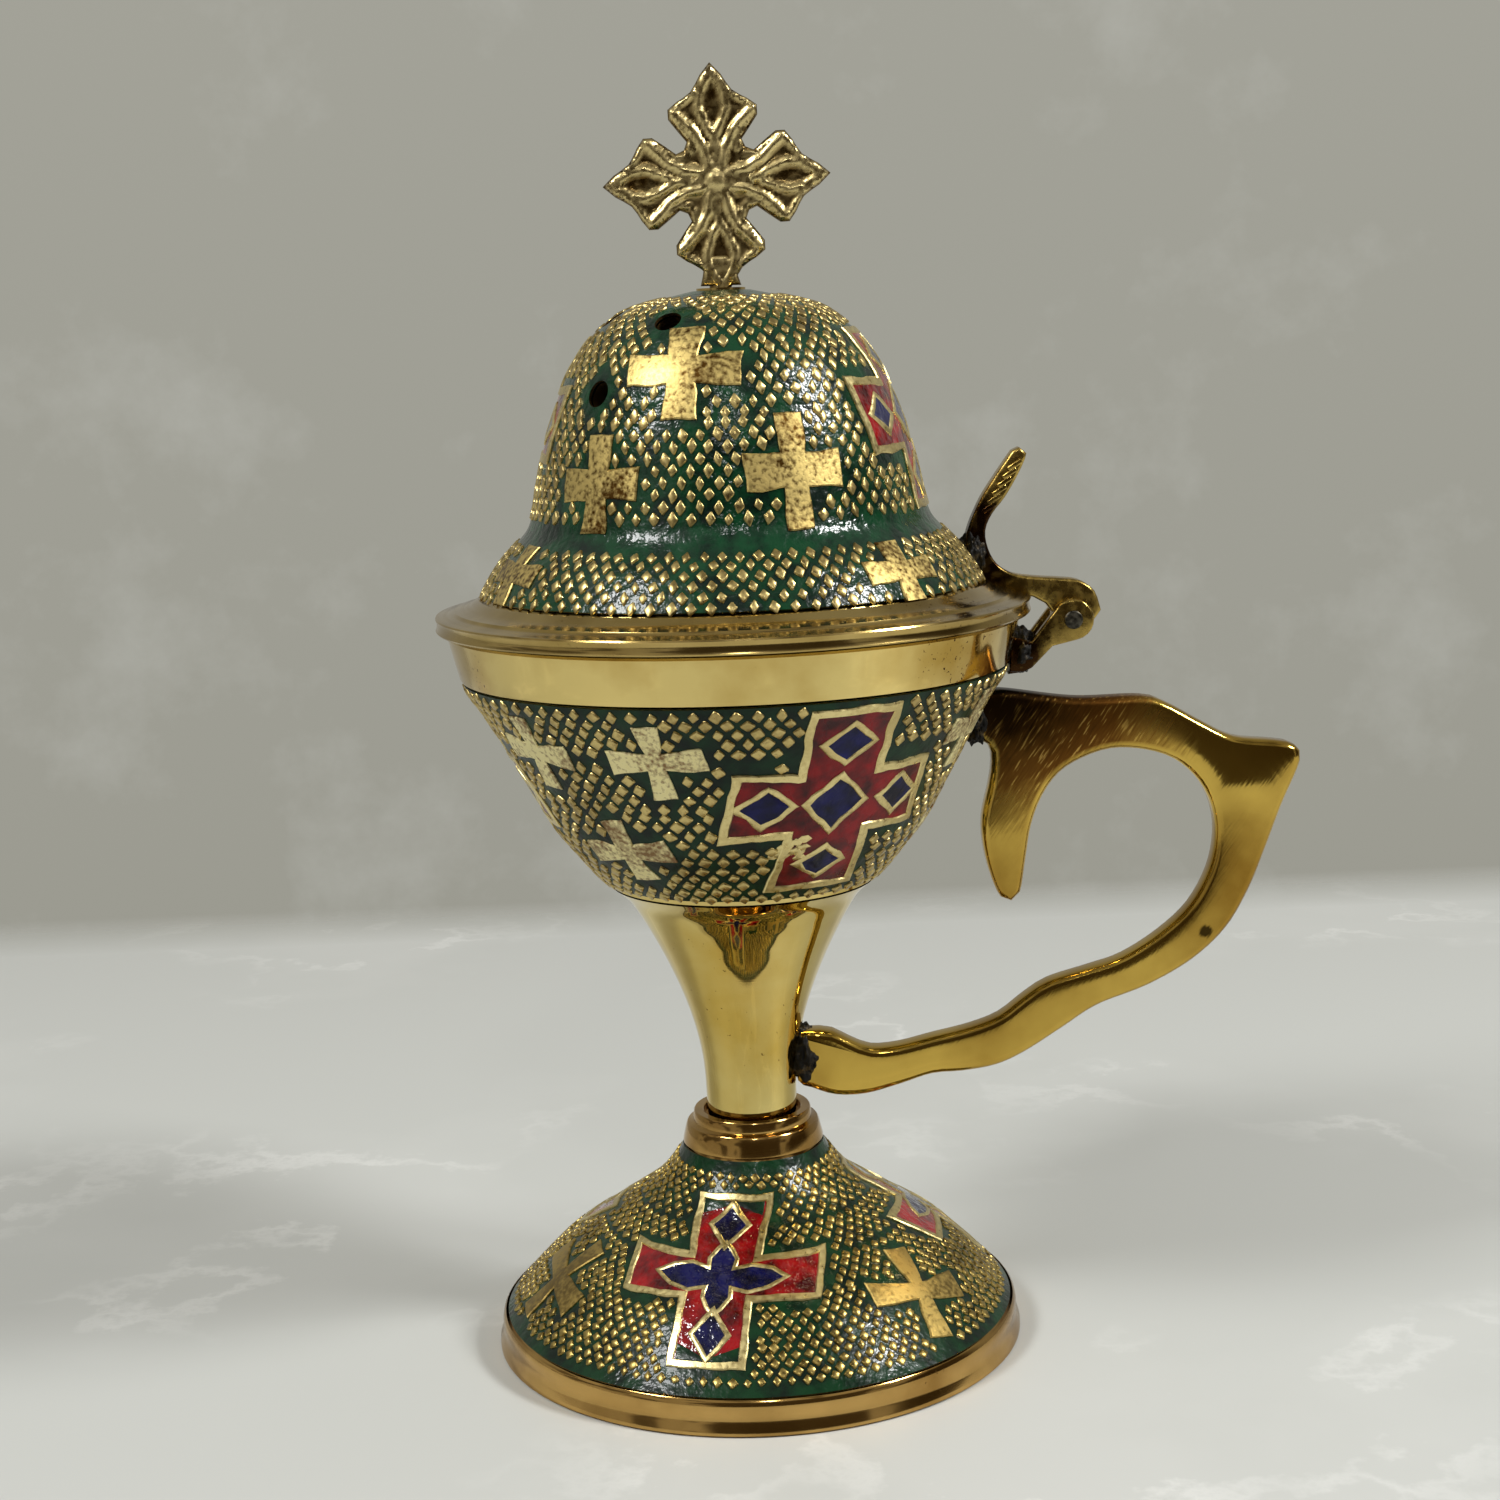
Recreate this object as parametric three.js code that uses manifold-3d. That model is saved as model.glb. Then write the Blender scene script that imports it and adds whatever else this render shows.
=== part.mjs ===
// An enamelled brass hand censer on a foot, with a domed lid on a hinge, a finger handle and a cross finial.
// Millimetres, +Z up. The turned pieces share one axis, x = 0 in the group, and the handle points along +X.

import * as THREE from "three";
import { mergeVertices } from "three/addons/utils/BufferGeometryUtils.js";
import Module from "manifold-3d";

const wasm = await Module();
wasm.setup();

// Driving dimensions: radii from the turned pieces' axis, and rises that stack up from the table.
const footRadius = 34.9;
const footRimTopRadius = 34.2;
const footRimHeight = 4.5;
const footRise = 21.9;
const collarFootRadius = 9.3;
const collarTopRadius = 7.8;
const collarRise = 4.2;
const stemFootRadius = 5.8;
const stemRise = 31.4;
const bowlBaseRadius = 18.0;
const bowlEnamelRise = 27.7;
const bandRise = 5.9;
const bandFlare = 1.5;
const bowlRimRadius = 36.7;
const flangeOverhang = 1.3;
const flangeEdgeThickness = 1.9;
const flangeSlopeRise = 1.8;
const flangeLedge = 5.7;
const skirtRise = 9.3;
const skirtFlare = 7.0;
const domeRise = 28.3;
const domeTopRadius = 3.4;
const finialArmLength = 14.2;
const handleOverreach = 34.7;
const handleTopDrop = 4.3;
const handleBottomLift = 1.4;
const handleThickness = 4.0;
const hingeStandoff = 5.3;
const hingeDrop = 1.3;
const leverHeight = 22.0;

// Heights and reaches that follow from them.
const collarFootHeight = footRimHeight + footRise;
const collarTopHeight = collarFootHeight + collarRise;
const bowlBaseHeight = collarTopHeight + stemRise;
const bowlBandHeight = bowlBaseHeight + bowlEnamelRise;
const bowlRimHeight = bowlBandHeight + bandRise;
const bowlBandRadius = bowlRimRadius - bandFlare;
const flangeRadius = bowlRimRadius + flangeOverhang;
const domeFootRadius = flangeRadius - flangeLedge;
const waistRadius = domeFootRadius - skirtFlare;
const handleReach = flangeRadius + handleOverreach;
const handleTopHeight = bowlBandHeight - handleTopDrop;
const handleBottomHeight = collarTopHeight + handleBottomLift;
const hingeReach = flangeRadius + hingeStandoff;
const hingeHeight = bowlRimHeight - hingeDrop;

// Walls, clearances and the fineness of the round pieces.
const castWall = 1.7;
const enamelThickness = 0.5;
const enamelBedGap = 0.3;
const seatGap = 0.3;
const lidRestGap = 0.3;
const runningClearance = 0.1;
const cutOverrun = 4.0;
const recessDepth = enamelThickness + enamelBedGap;
const shellDepth = recessDepth + castWall;
const largeSegments = 32;
const smallSegments = 16;

// Curves of the enamelled fields and the stem, as [share of the height, share of the change of radius].
const footCurveShares = [
  [0, 0], [0.07, 0.065], [0.205, 0.18], [0.34, 0.31], [0.48, 0.48], [0.62, 0.67], [0.75, 0.84], [0.89, 0.945],
  [1, 1],
];
const stemCurveShares = [
  [0, 0], [0.11, 0.005], [0.24, 0.045], [0.36, 0.134], [0.49, 0.225], [0.62, 0.37], [0.745, 0.535], [0.87, 0.73],
  [1, 1],
];
const bowlCurveShares = [
  [0, 0], [0.06, 0.09], [0.135, 0.185], [0.28, 0.365], [0.43, 0.495], [0.57, 0.62], [0.72, 0.745], [0.865, 0.88],
  [0.94, 0.96], [1, 1],
];
const skirtCurveShares = [[0, 0], [0.54, 0.44], [0.8, 0.77], [1, 1]];
const domeCurveShares = [
  [0.07, 0.018], [0.378, 0.11], [0.6, 0.219], [0.73, 0.314], [0.82, 0.406], [0.908, 0.548], [0.951, 0.694],
  [1, 1],
];

function curveThrough(shares, [startRadius, startHeight], [endRadius, endHeight]) {
  return shares.map(([up, across]) => [
    startRadius + (endRadius - startRadius) * across,
    startHeight + (endHeight - startHeight) * up,
  ]);
}

// Moves a curve to the left of its direction: inwards, for an outer curve that climbs. A negative depth grows it.
function inward(curve, depth) {
  return curve.map(([radius, height], i) => {
    const [r0, z0] = curve[Math.max(i - 1, 0)];
    const [r1, z1] = curve[Math.min(i + 1, curve.length - 1)];
    const length = Math.hypot(r1 - r0, z1 - z0);
    return [radius - (depth * (z1 - z0)) / length, height + (depth * (r1 - r0)) / length];
  });
}

function radiusAt(curve, height) {
  const above = curve.findIndex(([, z]) => z >= height);
  const upper = above < 0 ? curve.length - 1 : Math.max(1, above);
  const [r0, z0] = curve[upper - 1];
  const [r1, z1] = curve[upper];
  return r0 + ((r1 - r0) * (height - z0)) / (z1 - z0);
}

// A closed [radius, height] profile, its outside climbing, turned about the upright axis.
function turned(profile, segments) {
  const closed = [...profile, profile[0]].map(([radius, height]) => new THREE.Vector2(radius, height));
  return new THREE.LatheGeometry(closed, segments).rotateX(Math.PI / 2);
}

function turnedToAxis(profile, segments) {
  const low = [0, profile[0][1]];
  const high = [0, profile[profile.length - 1][1]];
  const points = [low, ...profile, high].map(([radius, height]) => new THREE.Vector2(radius, height));
  return new THREE.LatheGeometry(points, segments).rotateX(Math.PI / 2);
}

// An outline in the X-Z plane, made into a plate of the given thickness that is centred on Y.
function plate(shape, thickness, curveSegments) {
  const geometry = new THREE.ExtrudeGeometry(shape, { depth: thickness, bevelEnabled: false, curveSegments });
  return geometry.rotateX(Math.PI / 2).translate(0, thickness / 2, 0);
}

function solid(geometry) {
  const bare = geometry.clone();
  bare.deleteAttribute("normal");
  bare.deleteAttribute("uv");
  const merged = mergeVertices(bare);
  const vertProperties = new Float32Array(merged.attributes.position.array);
  const triVerts = new Uint32Array(merged.index.array);
  return new wasm.Manifold(new wasm.Mesh({ numProp: 3, vertProperties, triVerts }));
}

function geometryOf(manifold) {
  const mesh = manifold.getMesh();
  const geometry = new THREE.BufferGeometry();
  geometry.setAttribute("position", new THREE.BufferAttribute(new Float32Array(mesh.vertProperties), 3));
  geometry.setIndex(new THREE.BufferAttribute(new Uint32Array(mesh.triVerts), 1));
  geometry.computeVertexNormals();
  return geometry;
}

function cut(geometry, ...cutters) {
  return geometryOf(cutters.reduce((left, cutter) => left.subtract(solid(cutter)), solid(geometry)));
}

function joined(geometry, ...others) {
  return geometryOf(others.reduce((left, other) => left.add(solid(other)), solid(geometry)));
}

// A plate grown by the seat gap on every side, which cuts the bed of that plate in a solder fillet.
function grownPlate(shape, thickness, curveSegments) {
  const thick = plate(shape, thickness + 2 * seatGap, curveSegments);
  const shifts = [[seatGap, 0], [-seatGap, 0], [0, seatGap], [0, -seatGap]];
  return joined(thick, ...shifts.map(([x, z]) => thick.clone().translate(x, 0, z)));
}

function upright(radius, low, high) {
  const height = high - low;
  const geometry = new THREE.CylinderGeometry(radius, radius, height, smallSegments);
  return geometry.rotateX(Math.PI / 2).translate(0, 0, low + height / 2);
}

function crossways(radius, length, x, z) {
  return new THREE.CylinderGeometry(radius, radius, length, smallSegments).translate(x, 0, z);
}

const censer = new THREE.Group();
censer.position.x = (flangeRadius - handleReach) / 2;
const cup = new THREE.Group();
const cover = new THREE.Group();
censer.add(cup, cover);

function add(group, name, geometry, material) {
  const mesh = new THREE.Mesh(geometry, material);
  mesh.name = name;
  group.add(mesh);
}

const polishedBrass = new THREE.MeshStandardMaterial({ color: 0xc9a24a, metalness: 1, roughness: 0.2 });
const castBrass = new THREE.MeshStandardMaterial({ color: 0xa88a45, metalness: 1, roughness: 0.4 });
const steel = new THREE.MeshStandardMaterial({ color: 0x8f8f8c, metalness: 1, roughness: 0.35 });
const greenEnamel = new THREE.MeshStandardMaterial({ color: 0x0f4026, metalness: 0, roughness: 0.15 });
const blackSolder = new THREE.MeshStandardMaterial({ color: 0x2b2823, metalness: 0.5, roughness: 0.8 });

// A ring of enamel that fills the recess along a curve, short of both its edges by the bed's width.
function enamelRing(curve) {
  const field = curve.slice();
  const shorten = ([r0, z0], [r1, z1]) => {
    const share = enamelBedGap / Math.hypot(r1 - r0, z1 - z0);
    return [r0 + (r1 - r0) * share, z0 + (z1 - z0) * share];
  };
  field[0] = shorten(curve[0], curve[1]);
  field[field.length - 1] = shorten(curve[curve.length - 1], curve[curve.length - 2]);
  return turned([...field, ...inward(field, enamelThickness).reverse()], largeSegments);
}

// The tie rod runs through bowl, stem and foot, and its nut draws the three together from below.
const rodRadius = 2.5;
const rodHoleRadius = 2.8;
const rodHeadRadius = 5.0;
const rodHeadHeight = 2.2;
const bowlFloorThickness = 3.5;
const collarRecessRadius = 6.1;
const collarRecessDepth = 1.0;
const collarFloorThickness = 5.3;
const washerRadius = 6.2;
const washerThickness = 1.2;
const nutAcrossFlats = 8.0;
const nutHeight = 4.0;
const rodEndLength = 1.6;
const bowlFloorHeight = bowlBaseHeight + bowlFloorThickness;
const collarFloorHeight = collarTopHeight - collarRecessDepth;
const footCeilingHeight = collarFloorHeight - collarFloorThickness;
const washerTopHeight = footCeilingHeight - seatGap;
const nutTopHeight = washerTopHeight - washerThickness - seatGap;
const rodEndHeight = nutTopHeight - nutHeight - rodEndLength;

// Foot: a cast and turned dish, hollow below, with a collar on top that takes the stem.
const footRimWaistRadius = 34.3;
const footRimWaistHeight = 2.8;
const footRimWidth = 2.5;
const collarGrooveDrop = 1.7;
const collarGrooveStep = 1.2;
const footCurve = curveThrough(
  footCurveShares, [footRimTopRadius, footRimHeight], [collarFootRadius, collarFootHeight],
);
const footInside = inward(footCurve, shellDepth).filter(([, z]) => z < footCeilingHeight - seatGap);
add(cup, "foot", turned([
  [footRadius - footRimWidth, 0],
  [footRadius, 0],
  [footRimWaistRadius, footRimWaistHeight],
  [footRimTopRadius, footRimHeight],
  ...inward(footCurve, recessDepth),
  [collarFootRadius, collarFootHeight],
  [collarFootRadius, collarTopHeight - collarGrooveDrop],
  [collarFootRadius - collarGrooveStep, collarTopHeight - collarGrooveDrop],
  [collarTopRadius, collarTopHeight],
  [collarRecessRadius, collarTopHeight],
  [collarRecessRadius, collarFloorHeight],
  [rodHoleRadius, collarFloorHeight],
  [rodHoleRadius, footCeilingHeight],
  [footInside[footInside.length - 1][0], footCeilingHeight],
  ...footInside.reverse(),
], largeSegments), polishedBrass);
add(cup, "foot_enamel", enamelRing(footCurve), greenEnamel);

// Stem: a hollow turned cone that flares up to the bowl.
const stemWall = 4.0;
const stemSolidShare = 0.62;
const stemBottomHeight = collarFloorHeight + seatGap;
const stemTopHeight = bowlBaseHeight - seatGap;
const stemTopRadius = bowlBaseRadius - 2 * seatGap;
const stemCurve = curveThrough(
  stemCurveShares, [stemFootRadius, collarTopHeight], [stemTopRadius, stemTopHeight],
);
const stemHollowHeight = collarTopHeight + (stemTopHeight - collarTopHeight) * stemSolidShare;
add(cup, "stem", turned([
  [rodHoleRadius, stemBottomHeight],
  [stemFootRadius, stemBottomHeight],
  ...stemCurve,
  [stemTopRadius - stemWall, stemTopHeight],
  [rodHoleRadius, stemHollowHeight],
], largeSegments), polishedBrass);

// Bowl: a turned cup whose bare band stands above the enamel.
const bandCurveShares = [[0.475, 0.53], [1, 1]];
const bowlCurve = curveThrough(
  bowlCurveShares, [bowlBaseRadius, bowlBaseHeight + seatGap], [bowlBandRadius, bowlBandHeight],
);
const bandCurve = [
  [bowlBandRadius, bowlBandHeight + seatGap],
  ...curveThrough(bandCurveShares, [bowlBandRadius, bowlBandHeight], [bowlRimRadius, bowlRimHeight]),
];
const bowlInside = inward([...bowlCurve, ...bandCurve.slice(1)], shellDepth).slice(0, -1);
const bowlWallFeet = bowlInside.filter(([, z]) => z > bowlFloorHeight + castWall);
add(cup, "bowl", turned([
  [rodHoleRadius, bowlBaseHeight],
  [stemTopRadius, bowlBaseHeight],
  ...inward(bowlCurve, recessDepth),
  ...bandCurve,
  [bowlRimRadius - shellDepth, bowlRimHeight],
  ...bowlWallFeet.reverse(),
  [bowlWallFeet[bowlWallFeet.length - 1][0] - shellDepth, bowlFloorHeight],
  [rodHoleRadius, bowlFloorHeight],
], largeSegments), polishedBrass);
add(cup, "bowl_enamel", enamelRing(bowlCurve), greenEnamel);

// The tie rod with its round head, and the washer and hexagon nut under the foot.
add(cup, "tie_rod", turnedToAxis([
  [rodRadius, rodEndHeight],
  [rodRadius, bowlFloorHeight + seatGap],
  [rodHeadRadius, bowlFloorHeight + seatGap],
  [rodHeadRadius, bowlFloorHeight + rodHeadHeight / 2],
  [rodRadius, bowlFloorHeight + rodHeadHeight],
], smallSegments), steel);
add(cup, "foot_washer", turned([
  [rodHoleRadius, washerTopHeight - washerThickness],
  [washerRadius, washerTopHeight - washerThickness],
  [washerRadius, washerTopHeight],
  [rodHoleRadius, washerTopHeight],
], smallSegments), steel);

function hexagonNut(acrossFlats, height, top, holeRadius) {
  const corner = acrossFlats / Math.sqrt(3);
  const body = new THREE.CylinderGeometry(corner, corner, height, 6);
  body.rotateX(Math.PI / 2).translate(0, 0, top - height / 2);
  return cut(body, upright(holeRadius, top - height - cutOverrun, top + cutOverrun));
}

add(cup, "foot_nut", hexagonNut(nutAcrossFlats, nutHeight, nutTopHeight, rodRadius + runningClearance), steel);

// What the bowl and the stem take up, grown by the seat gap: it trims each piece that is soldered to them.
const bowlBody = turnedToAxis(inward([...bowlCurve, ...bandCurve], -seatGap), largeSegments);
const stemBody = turnedToAxis(inward(stemCurve, -seatGap), largeSegments);

// Handle: one flat casting. Its points are shares of its reach and of its height. Across, they follow three places:
// the stem's surface, the hook beside the bowl, and the tip.
const handleOuterShares = [
  [0.598, 0.974], [0.717, 0.972], [0.763, 0.951], [0.823, 0.904], [0.882, 0.863], [0.955, 0.85], [0.99, 0.837],
  [1, 0.798], [0.967, 0.691], [0.938, 0.586], [0.908, 0.485], [0.867, 0.39], [0.806, 0.313], [0.725, 0.251],
  [0.631, 0.204], [0.569, 0.152], [0.501, 0.094], [0.447, 0.062], [0.385, 0.049], [0.33, 0.045], [0.27, 0.021],
  [0.209, 0], [0.154, 0], [0.11, 0.021],
];
const handleInnerShares = [
  [0.128, 0.169], [0.151, 0.163], [0.184, 0.139], [0.221, 0.118], [0.272, 0.122], [0.333, 0.14], [0.402, 0.161],
  [0.454, 0.187], [0.497, 0.23], [0.543, 0.27], [0.619, 0.3], [0.68, 0.326], [0.747, 0.382], [0.801, 0.449],
  [0.835, 0.536], [0.847, 0.62], [0.842, 0.693], [0.818, 0.758], [0.776, 0.813], [0.722, 0.839], [0.663, 0.845],
  [0.611, 0.824], [0.569, 0.79], [0.539, 0.736], [0.519, 0.665], [0.508, 0.582], [0.497, 0.498],
];
const handleHookShares = [
  [0.461, 0.487], [0.444, 0.539], [0.432, 0.614], [0.431, 0.687], [0.444, 0.77], [0.45, 0.824], [0.443, 0.867],
];
const upperRootShares = [0.88, 1];
const lowerRootShares = [0.04, 0.169];
const handleDrop = handleTopHeight - handleBottomHeight;
const hookInset = 5.4;
const hookReach = bowlRimRadius - hookInset;
const stemShare = 0.08;
const hookShare = 0.431;
function handlePoint([across, up]) {
  const outside = hookReach + ((handleReach - hookReach) * (across - hookShare)) / (1 - hookShare);
  const inside = stemFootRadius + ((hookReach - stemFootRadius) * (across - stemShare)) / (hookShare - stemShare);
  return new THREE.Vector2(across < hookShare ? inside : outside, handleBottomHeight + up * handleDrop);
}
const rootPoint = (curve, up) => {
  const height = handleBottomHeight + up * handleDrop;
  return new THREE.Vector2(radiusAt(curve, height) - cutOverrun, height);
};
const handleShape = new THREE.Shape();
handleShape.setFromPoints([rootPoint(bowlCurve, upperRootShares[1])]);
handleShape.splineThru(handleOuterShares.map(handlePoint));
const lowerRootLow = rootPoint(stemCurve, lowerRootShares[0]);
const lowerRootHigh = rootPoint(stemCurve, lowerRootShares[1]);
const upperRootLow = rootPoint(bowlCurve, upperRootShares[0]);
handleShape.lineTo(lowerRootLow.x, lowerRootLow.y);
handleShape.lineTo(lowerRootHigh.x, lowerRootHigh.y);
handleShape.splineThru(handleInnerShares.map(handlePoint));
handleShape.splineThru(handleHookShares.map(handlePoint));
handleShape.lineTo(upperRootLow.x, upperRootLow.y);
handleShape.closePath();
const handleCurveSegments = 2;
const handlePlate = plate(handleShape, handleThickness, handleCurveSegments);
add(cup, "handle", cut(handlePlate, bowlBody, stemBody), polishedBrass);

// A fillet of solder: an egg-shaped bead round a joint, trimmed by what the pieces take up. Crumbs are dropped.
const beadAround = 12;
const beadUp = 10;
function solderBead([x, z], [deep, wide, tall], ...cutters) {
  const bead = new THREE.SphereGeometry(1, beadAround, beadUp).scale(deep, wide, tall).translate(x, 0, z);
  const trimmed = cutters.reduce((left, cutter) => left.subtract(solid(cutter)), solid(bead));
  return geometryOf(trimmed.decompose().sort((a, b) => b.volume() - a.volume())[0]);
}

const upperBeadSize = [2.8, 4.2, 5.2];
const lowerBeadSize = [2.8, 4.4, 5.0];
const handleBed = grownPlate(handleShape, handleThickness, handleCurveSegments);
const upperBeadHeight = handlePoint([0, (upperRootShares[0] + upperRootShares[1]) / 2]).y;
const lowerBeadHeight = handlePoint([0, (lowerRootShares[0] + lowerRootShares[1]) / 2]).y;
add(cup, "handle_upper_solder", solderBead(
  [radiusAt(bowlCurve, upperBeadHeight) + seatGap, upperBeadHeight], upperBeadSize, bowlBody, handleBed,
), blackSolder);
add(cup, "handle_lower_solder", solderBead(
  [radiusAt(stemCurve, lowerBeadHeight) + seatGap, lowerBeadHeight], lowerBeadSize, stemBody, handleBed,
), blackSolder);

// Hinge bracket: a fork on the bowl's band whose two ears carry the pin, with the lid arm's tongue between them.
const earRadius = 2.5;
const earThickness = 1.6;
const tongueThickness = 3.0;
const hingeSideClearance = 0.2;
const earBottomAngle = THREE.MathUtils.degToRad(-60);
const earTopAngle = THREE.MathUtils.degToRad(150);
const pinRadius = 1.25;
const pinRecess = 0.3;
const forkSlotRadius = 5.0;
const bracketRootDrop = 2.5;
const bracketRootHeight = 5.2;
const bracketRootTop = bowlRimHeight - bracketRootDrop;
const bracketRootBottom = bracketRootTop - bracketRootHeight;
const bracketTopElbowShares = [0.35, 0.35];
const bracketBottomElbowShares = [0.58, 0.72];
const bracketRootWidth = hingeReach - bowlBandRadius;
const bracketElbow = ([across, down]) => [
  bowlBandRadius + bracketRootWidth * across, hingeHeight - (hingeHeight - bracketRootBottom) * down,
];
const forkSlot = tongueThickness + 2 * hingeSideClearance;
const bracketThickness = forkSlot + 2 * earThickness;
const bracketShape = new THREE.Shape();
const bracketInnerX = bowlBandRadius - cutOverrun;
bracketShape.moveTo(bracketInnerX, bracketRootBottom);
bracketShape.lineTo(bowlBandRadius + earRadius, bracketRootBottom);
bracketShape.lineTo(...bracketElbow(bracketBottomElbowShares));
bracketShape.absarc(hingeReach, hingeHeight, earRadius, earBottomAngle, earTopAngle, false);
bracketShape.lineTo(...bracketElbow(bracketTopElbowShares));
bracketShape.lineTo(bracketInnerX, bracketRootTop);
bracketShape.closePath();
const bracketCurveSegments = 6;
const pinHole = crossways(pinRadius + runningClearance, bracketThickness + cutOverrun, hingeReach, hingeHeight);
const forkCutter = crossways(forkSlotRadius, forkSlot, hingeReach, hingeHeight);
add(cup, "hinge_bracket", cut(
  plate(bracketShape, bracketThickness, bracketCurveSegments), forkCutter, pinHole, bowlBody,
), castBrass);
add(cup, "hinge_pin", crossways(pinRadius, bracketThickness - 2 * pinRecess, hingeReach, hingeHeight), steel);

const bracketBeadSize = [2.6, 5.4, 4.8];
const bracketBeadHeight = (bracketRootTop + bracketRootBottom) / 2;
add(cup, "bracket_solder", solderBead(
  [bowlBandRadius + seatGap, bracketBeadHeight], bracketBeadSize, bowlBody,
  grownPlate(bracketShape, bracketThickness, bracketCurveSegments),
), blackSolder);

// Lid: a turned bell with a flange that rests on the bowl's rim, and a lip that keeps it centred.
const lipClearance = 0.7;
const lipThickness = 1.5;
const lipDepth = 1.5;
const flangeChamfer = 0.9;
const lipRadius = bowlRimRadius - shellDepth - lipClearance;
const flangeUnderHeight = bowlRimHeight + lidRestGap;
const flangeTopHeight = flangeUnderHeight + flangeEdgeThickness;
const domeFootHeight = flangeTopHeight + flangeSlopeRise + seatGap;
const waistHeight = domeFootHeight + skirtRise;
const domeTopHeight = waistHeight + domeRise;
const bossHeight = domeTopHeight;
const bossRadius = domeTopRadius - seatGap;
const tangRadius = 1.4;
const tangHoleRadius = tangRadius + seatGap;
const skirtCurve = curveThrough(skirtCurveShares, [domeFootRadius, domeFootHeight], [waistRadius, waistHeight]);
const domeCurve = [
  ...skirtCurve,
  ...curveThrough(domeCurveShares, [waistRadius, waistHeight], [domeTopRadius, domeTopHeight]),
];
const domeInside = inward(domeCurve, shellDepth);
const domeCeilingHeight = domeInside[domeInside.length - 1][1];
const flangeCurve = [
  [flangeRadius - flangeChamfer, flangeUnderHeight],
  [flangeRadius, flangeUnderHeight + flangeChamfer],
  [flangeRadius, flangeTopHeight],
  [domeFootRadius + seatGap, flangeTopHeight + flangeSlopeRise],
];
const lidShell = turned([
  [lipRadius - lipThickness, bowlRimHeight - lipDepth],
  [lipRadius, bowlRimHeight - lipDepth],
  [lipRadius, flangeUnderHeight],
  ...flangeCurve,
  ...inward(domeCurve, recessDepth).slice(0, -1),
  [bossRadius, domeTopHeight - recessDepth],
  [bossRadius, bossHeight],
  [tangHoleRadius, bossHeight],
  [tangHoleRadius, domeCeilingHeight],
  ...domeInside.slice(0, -1).reverse(),
  [lipRadius - lipThickness, domeInside[0][1] - castWall],
], largeSegments);

// The smoke holes: two groups of three, [degrees from the front towards +X, share of the dome's rise].
const smokeHoleRadius = 1.7;
const smokeHoleSegments = 10;
const smokeHoleShares = [[-79.9, 0.887], [-26.5, 0.874], [-47.5, 0.588]];
const smokeHoles = [0, 180].flatMap((turn) => smokeHoleShares.map(([degrees, up]) => {
  const height = waistHeight + domeRise * up;
  const radius = radiusAt(domeCurve, height);
  const lower = radiusAt(domeCurve, height - smokeHoleRadius);
  const upper = radiusAt(domeCurve, height + smokeHoleRadius);
  const tilt = Math.atan2(lower - upper, 2 * smokeHoleRadius);
  const drill = new THREE.CylinderGeometry(smokeHoleRadius, smokeHoleRadius, 2 * cutOverrun, smokeHoleSegments);
  drill.rotateX(-tilt).translate(0, -radius, height);
  return drill.rotateZ(THREE.MathUtils.degToRad(degrees + turn));
}));
add(cover, "lid", cut(lidShell, ...smokeHoles), polishedBrass);
add(cover, "lid_enamel", cut(enamelRing(domeCurve), ...smokeHoles), greenEnamel);

// Lid arm: one casting that is soldered to the skirt, rises as a thumb lever and reaches over to the hinge pin.
// Its points are shares of the arm's reach back from the pin and of the lever's height above it.
const armReach = 13.0;
const armFrontShares = [
  [-0.415, 0.964], [-0.492, 0.855], [-0.63, 0.718], [-0.76, 0.623], [-0.83, 0.527], [-0.81, 0.423], [-0.723, 0.332],
  [-0.57, 0.277], [-0.37, 0.252], [-0.24, 0.245], [-0.115, 0.236], [0.085, 0.218], [0.23, 0.155], [0.292, 0.041],
  [0.277, 0.005],
];
const armNeckShares = [[-0.254, 0.091], [-0.377, 0.132]];
const armRootShares = [[-0.75, 0.18], [-1.15, 0.27], [-1.1, 0.5]];
const armBackShares = [
  [-0.99, 0.57], [-0.96, 0.605], [-0.86, 0.723], [-0.7, 0.864], [-0.56, 0.98], [-0.485, 1],
];
const knuckleRadius = 2.6;
const knuckleStart = THREE.MathUtils.degToRad(-11);
const knuckleEnd = THREE.MathUtils.degToRad(-200);
const armPoint = ([across, up]) => new THREE.Vector2(
  hingeReach + across * armReach, hingeHeight + up * leverHeight,
);
const armShape = new THREE.Shape();
armShape.setFromPoints([armPoint(armFrontShares[0])]);
armShape.splineThru(armFrontShares.slice(1).map(armPoint));
armShape.absarc(hingeReach, hingeHeight, knuckleRadius, knuckleStart, knuckleEnd, true);
[...armNeckShares, ...armRootShares].map(armPoint).forEach(({ x, y }) => armShape.lineTo(x, y));
armShape.lineTo(armPoint(armBackShares[0]).x, armPoint(armBackShares[0]).y);
armShape.splineThru(armBackShares.slice(1).map(armPoint));
armShape.closePath();
const armCurveSegments = 2;
const lidBody = turnedToAxis(inward([...flangeCurve, ...domeCurve], -seatGap), largeSegments);
add(cover, "lid_arm", cut(plate(armShape, tongueThickness, armCurveSegments), pinHole, lidBody), castBrass);

const armBeadSize = [3.2, 3.6, 5.6];
const armBeadShare = 0.42;
const armBeadHeight = hingeHeight + leverHeight * armBeadShare;
add(cover, "lid_arm_solder", solderBead(
  [radiusAt(domeCurve, armBeadHeight) + seatGap, armBeadHeight], armBeadSize, lidBody,
  grownPlate(armShape, tongueThickness, armCurveSegments),
), blackSolder);

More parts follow.
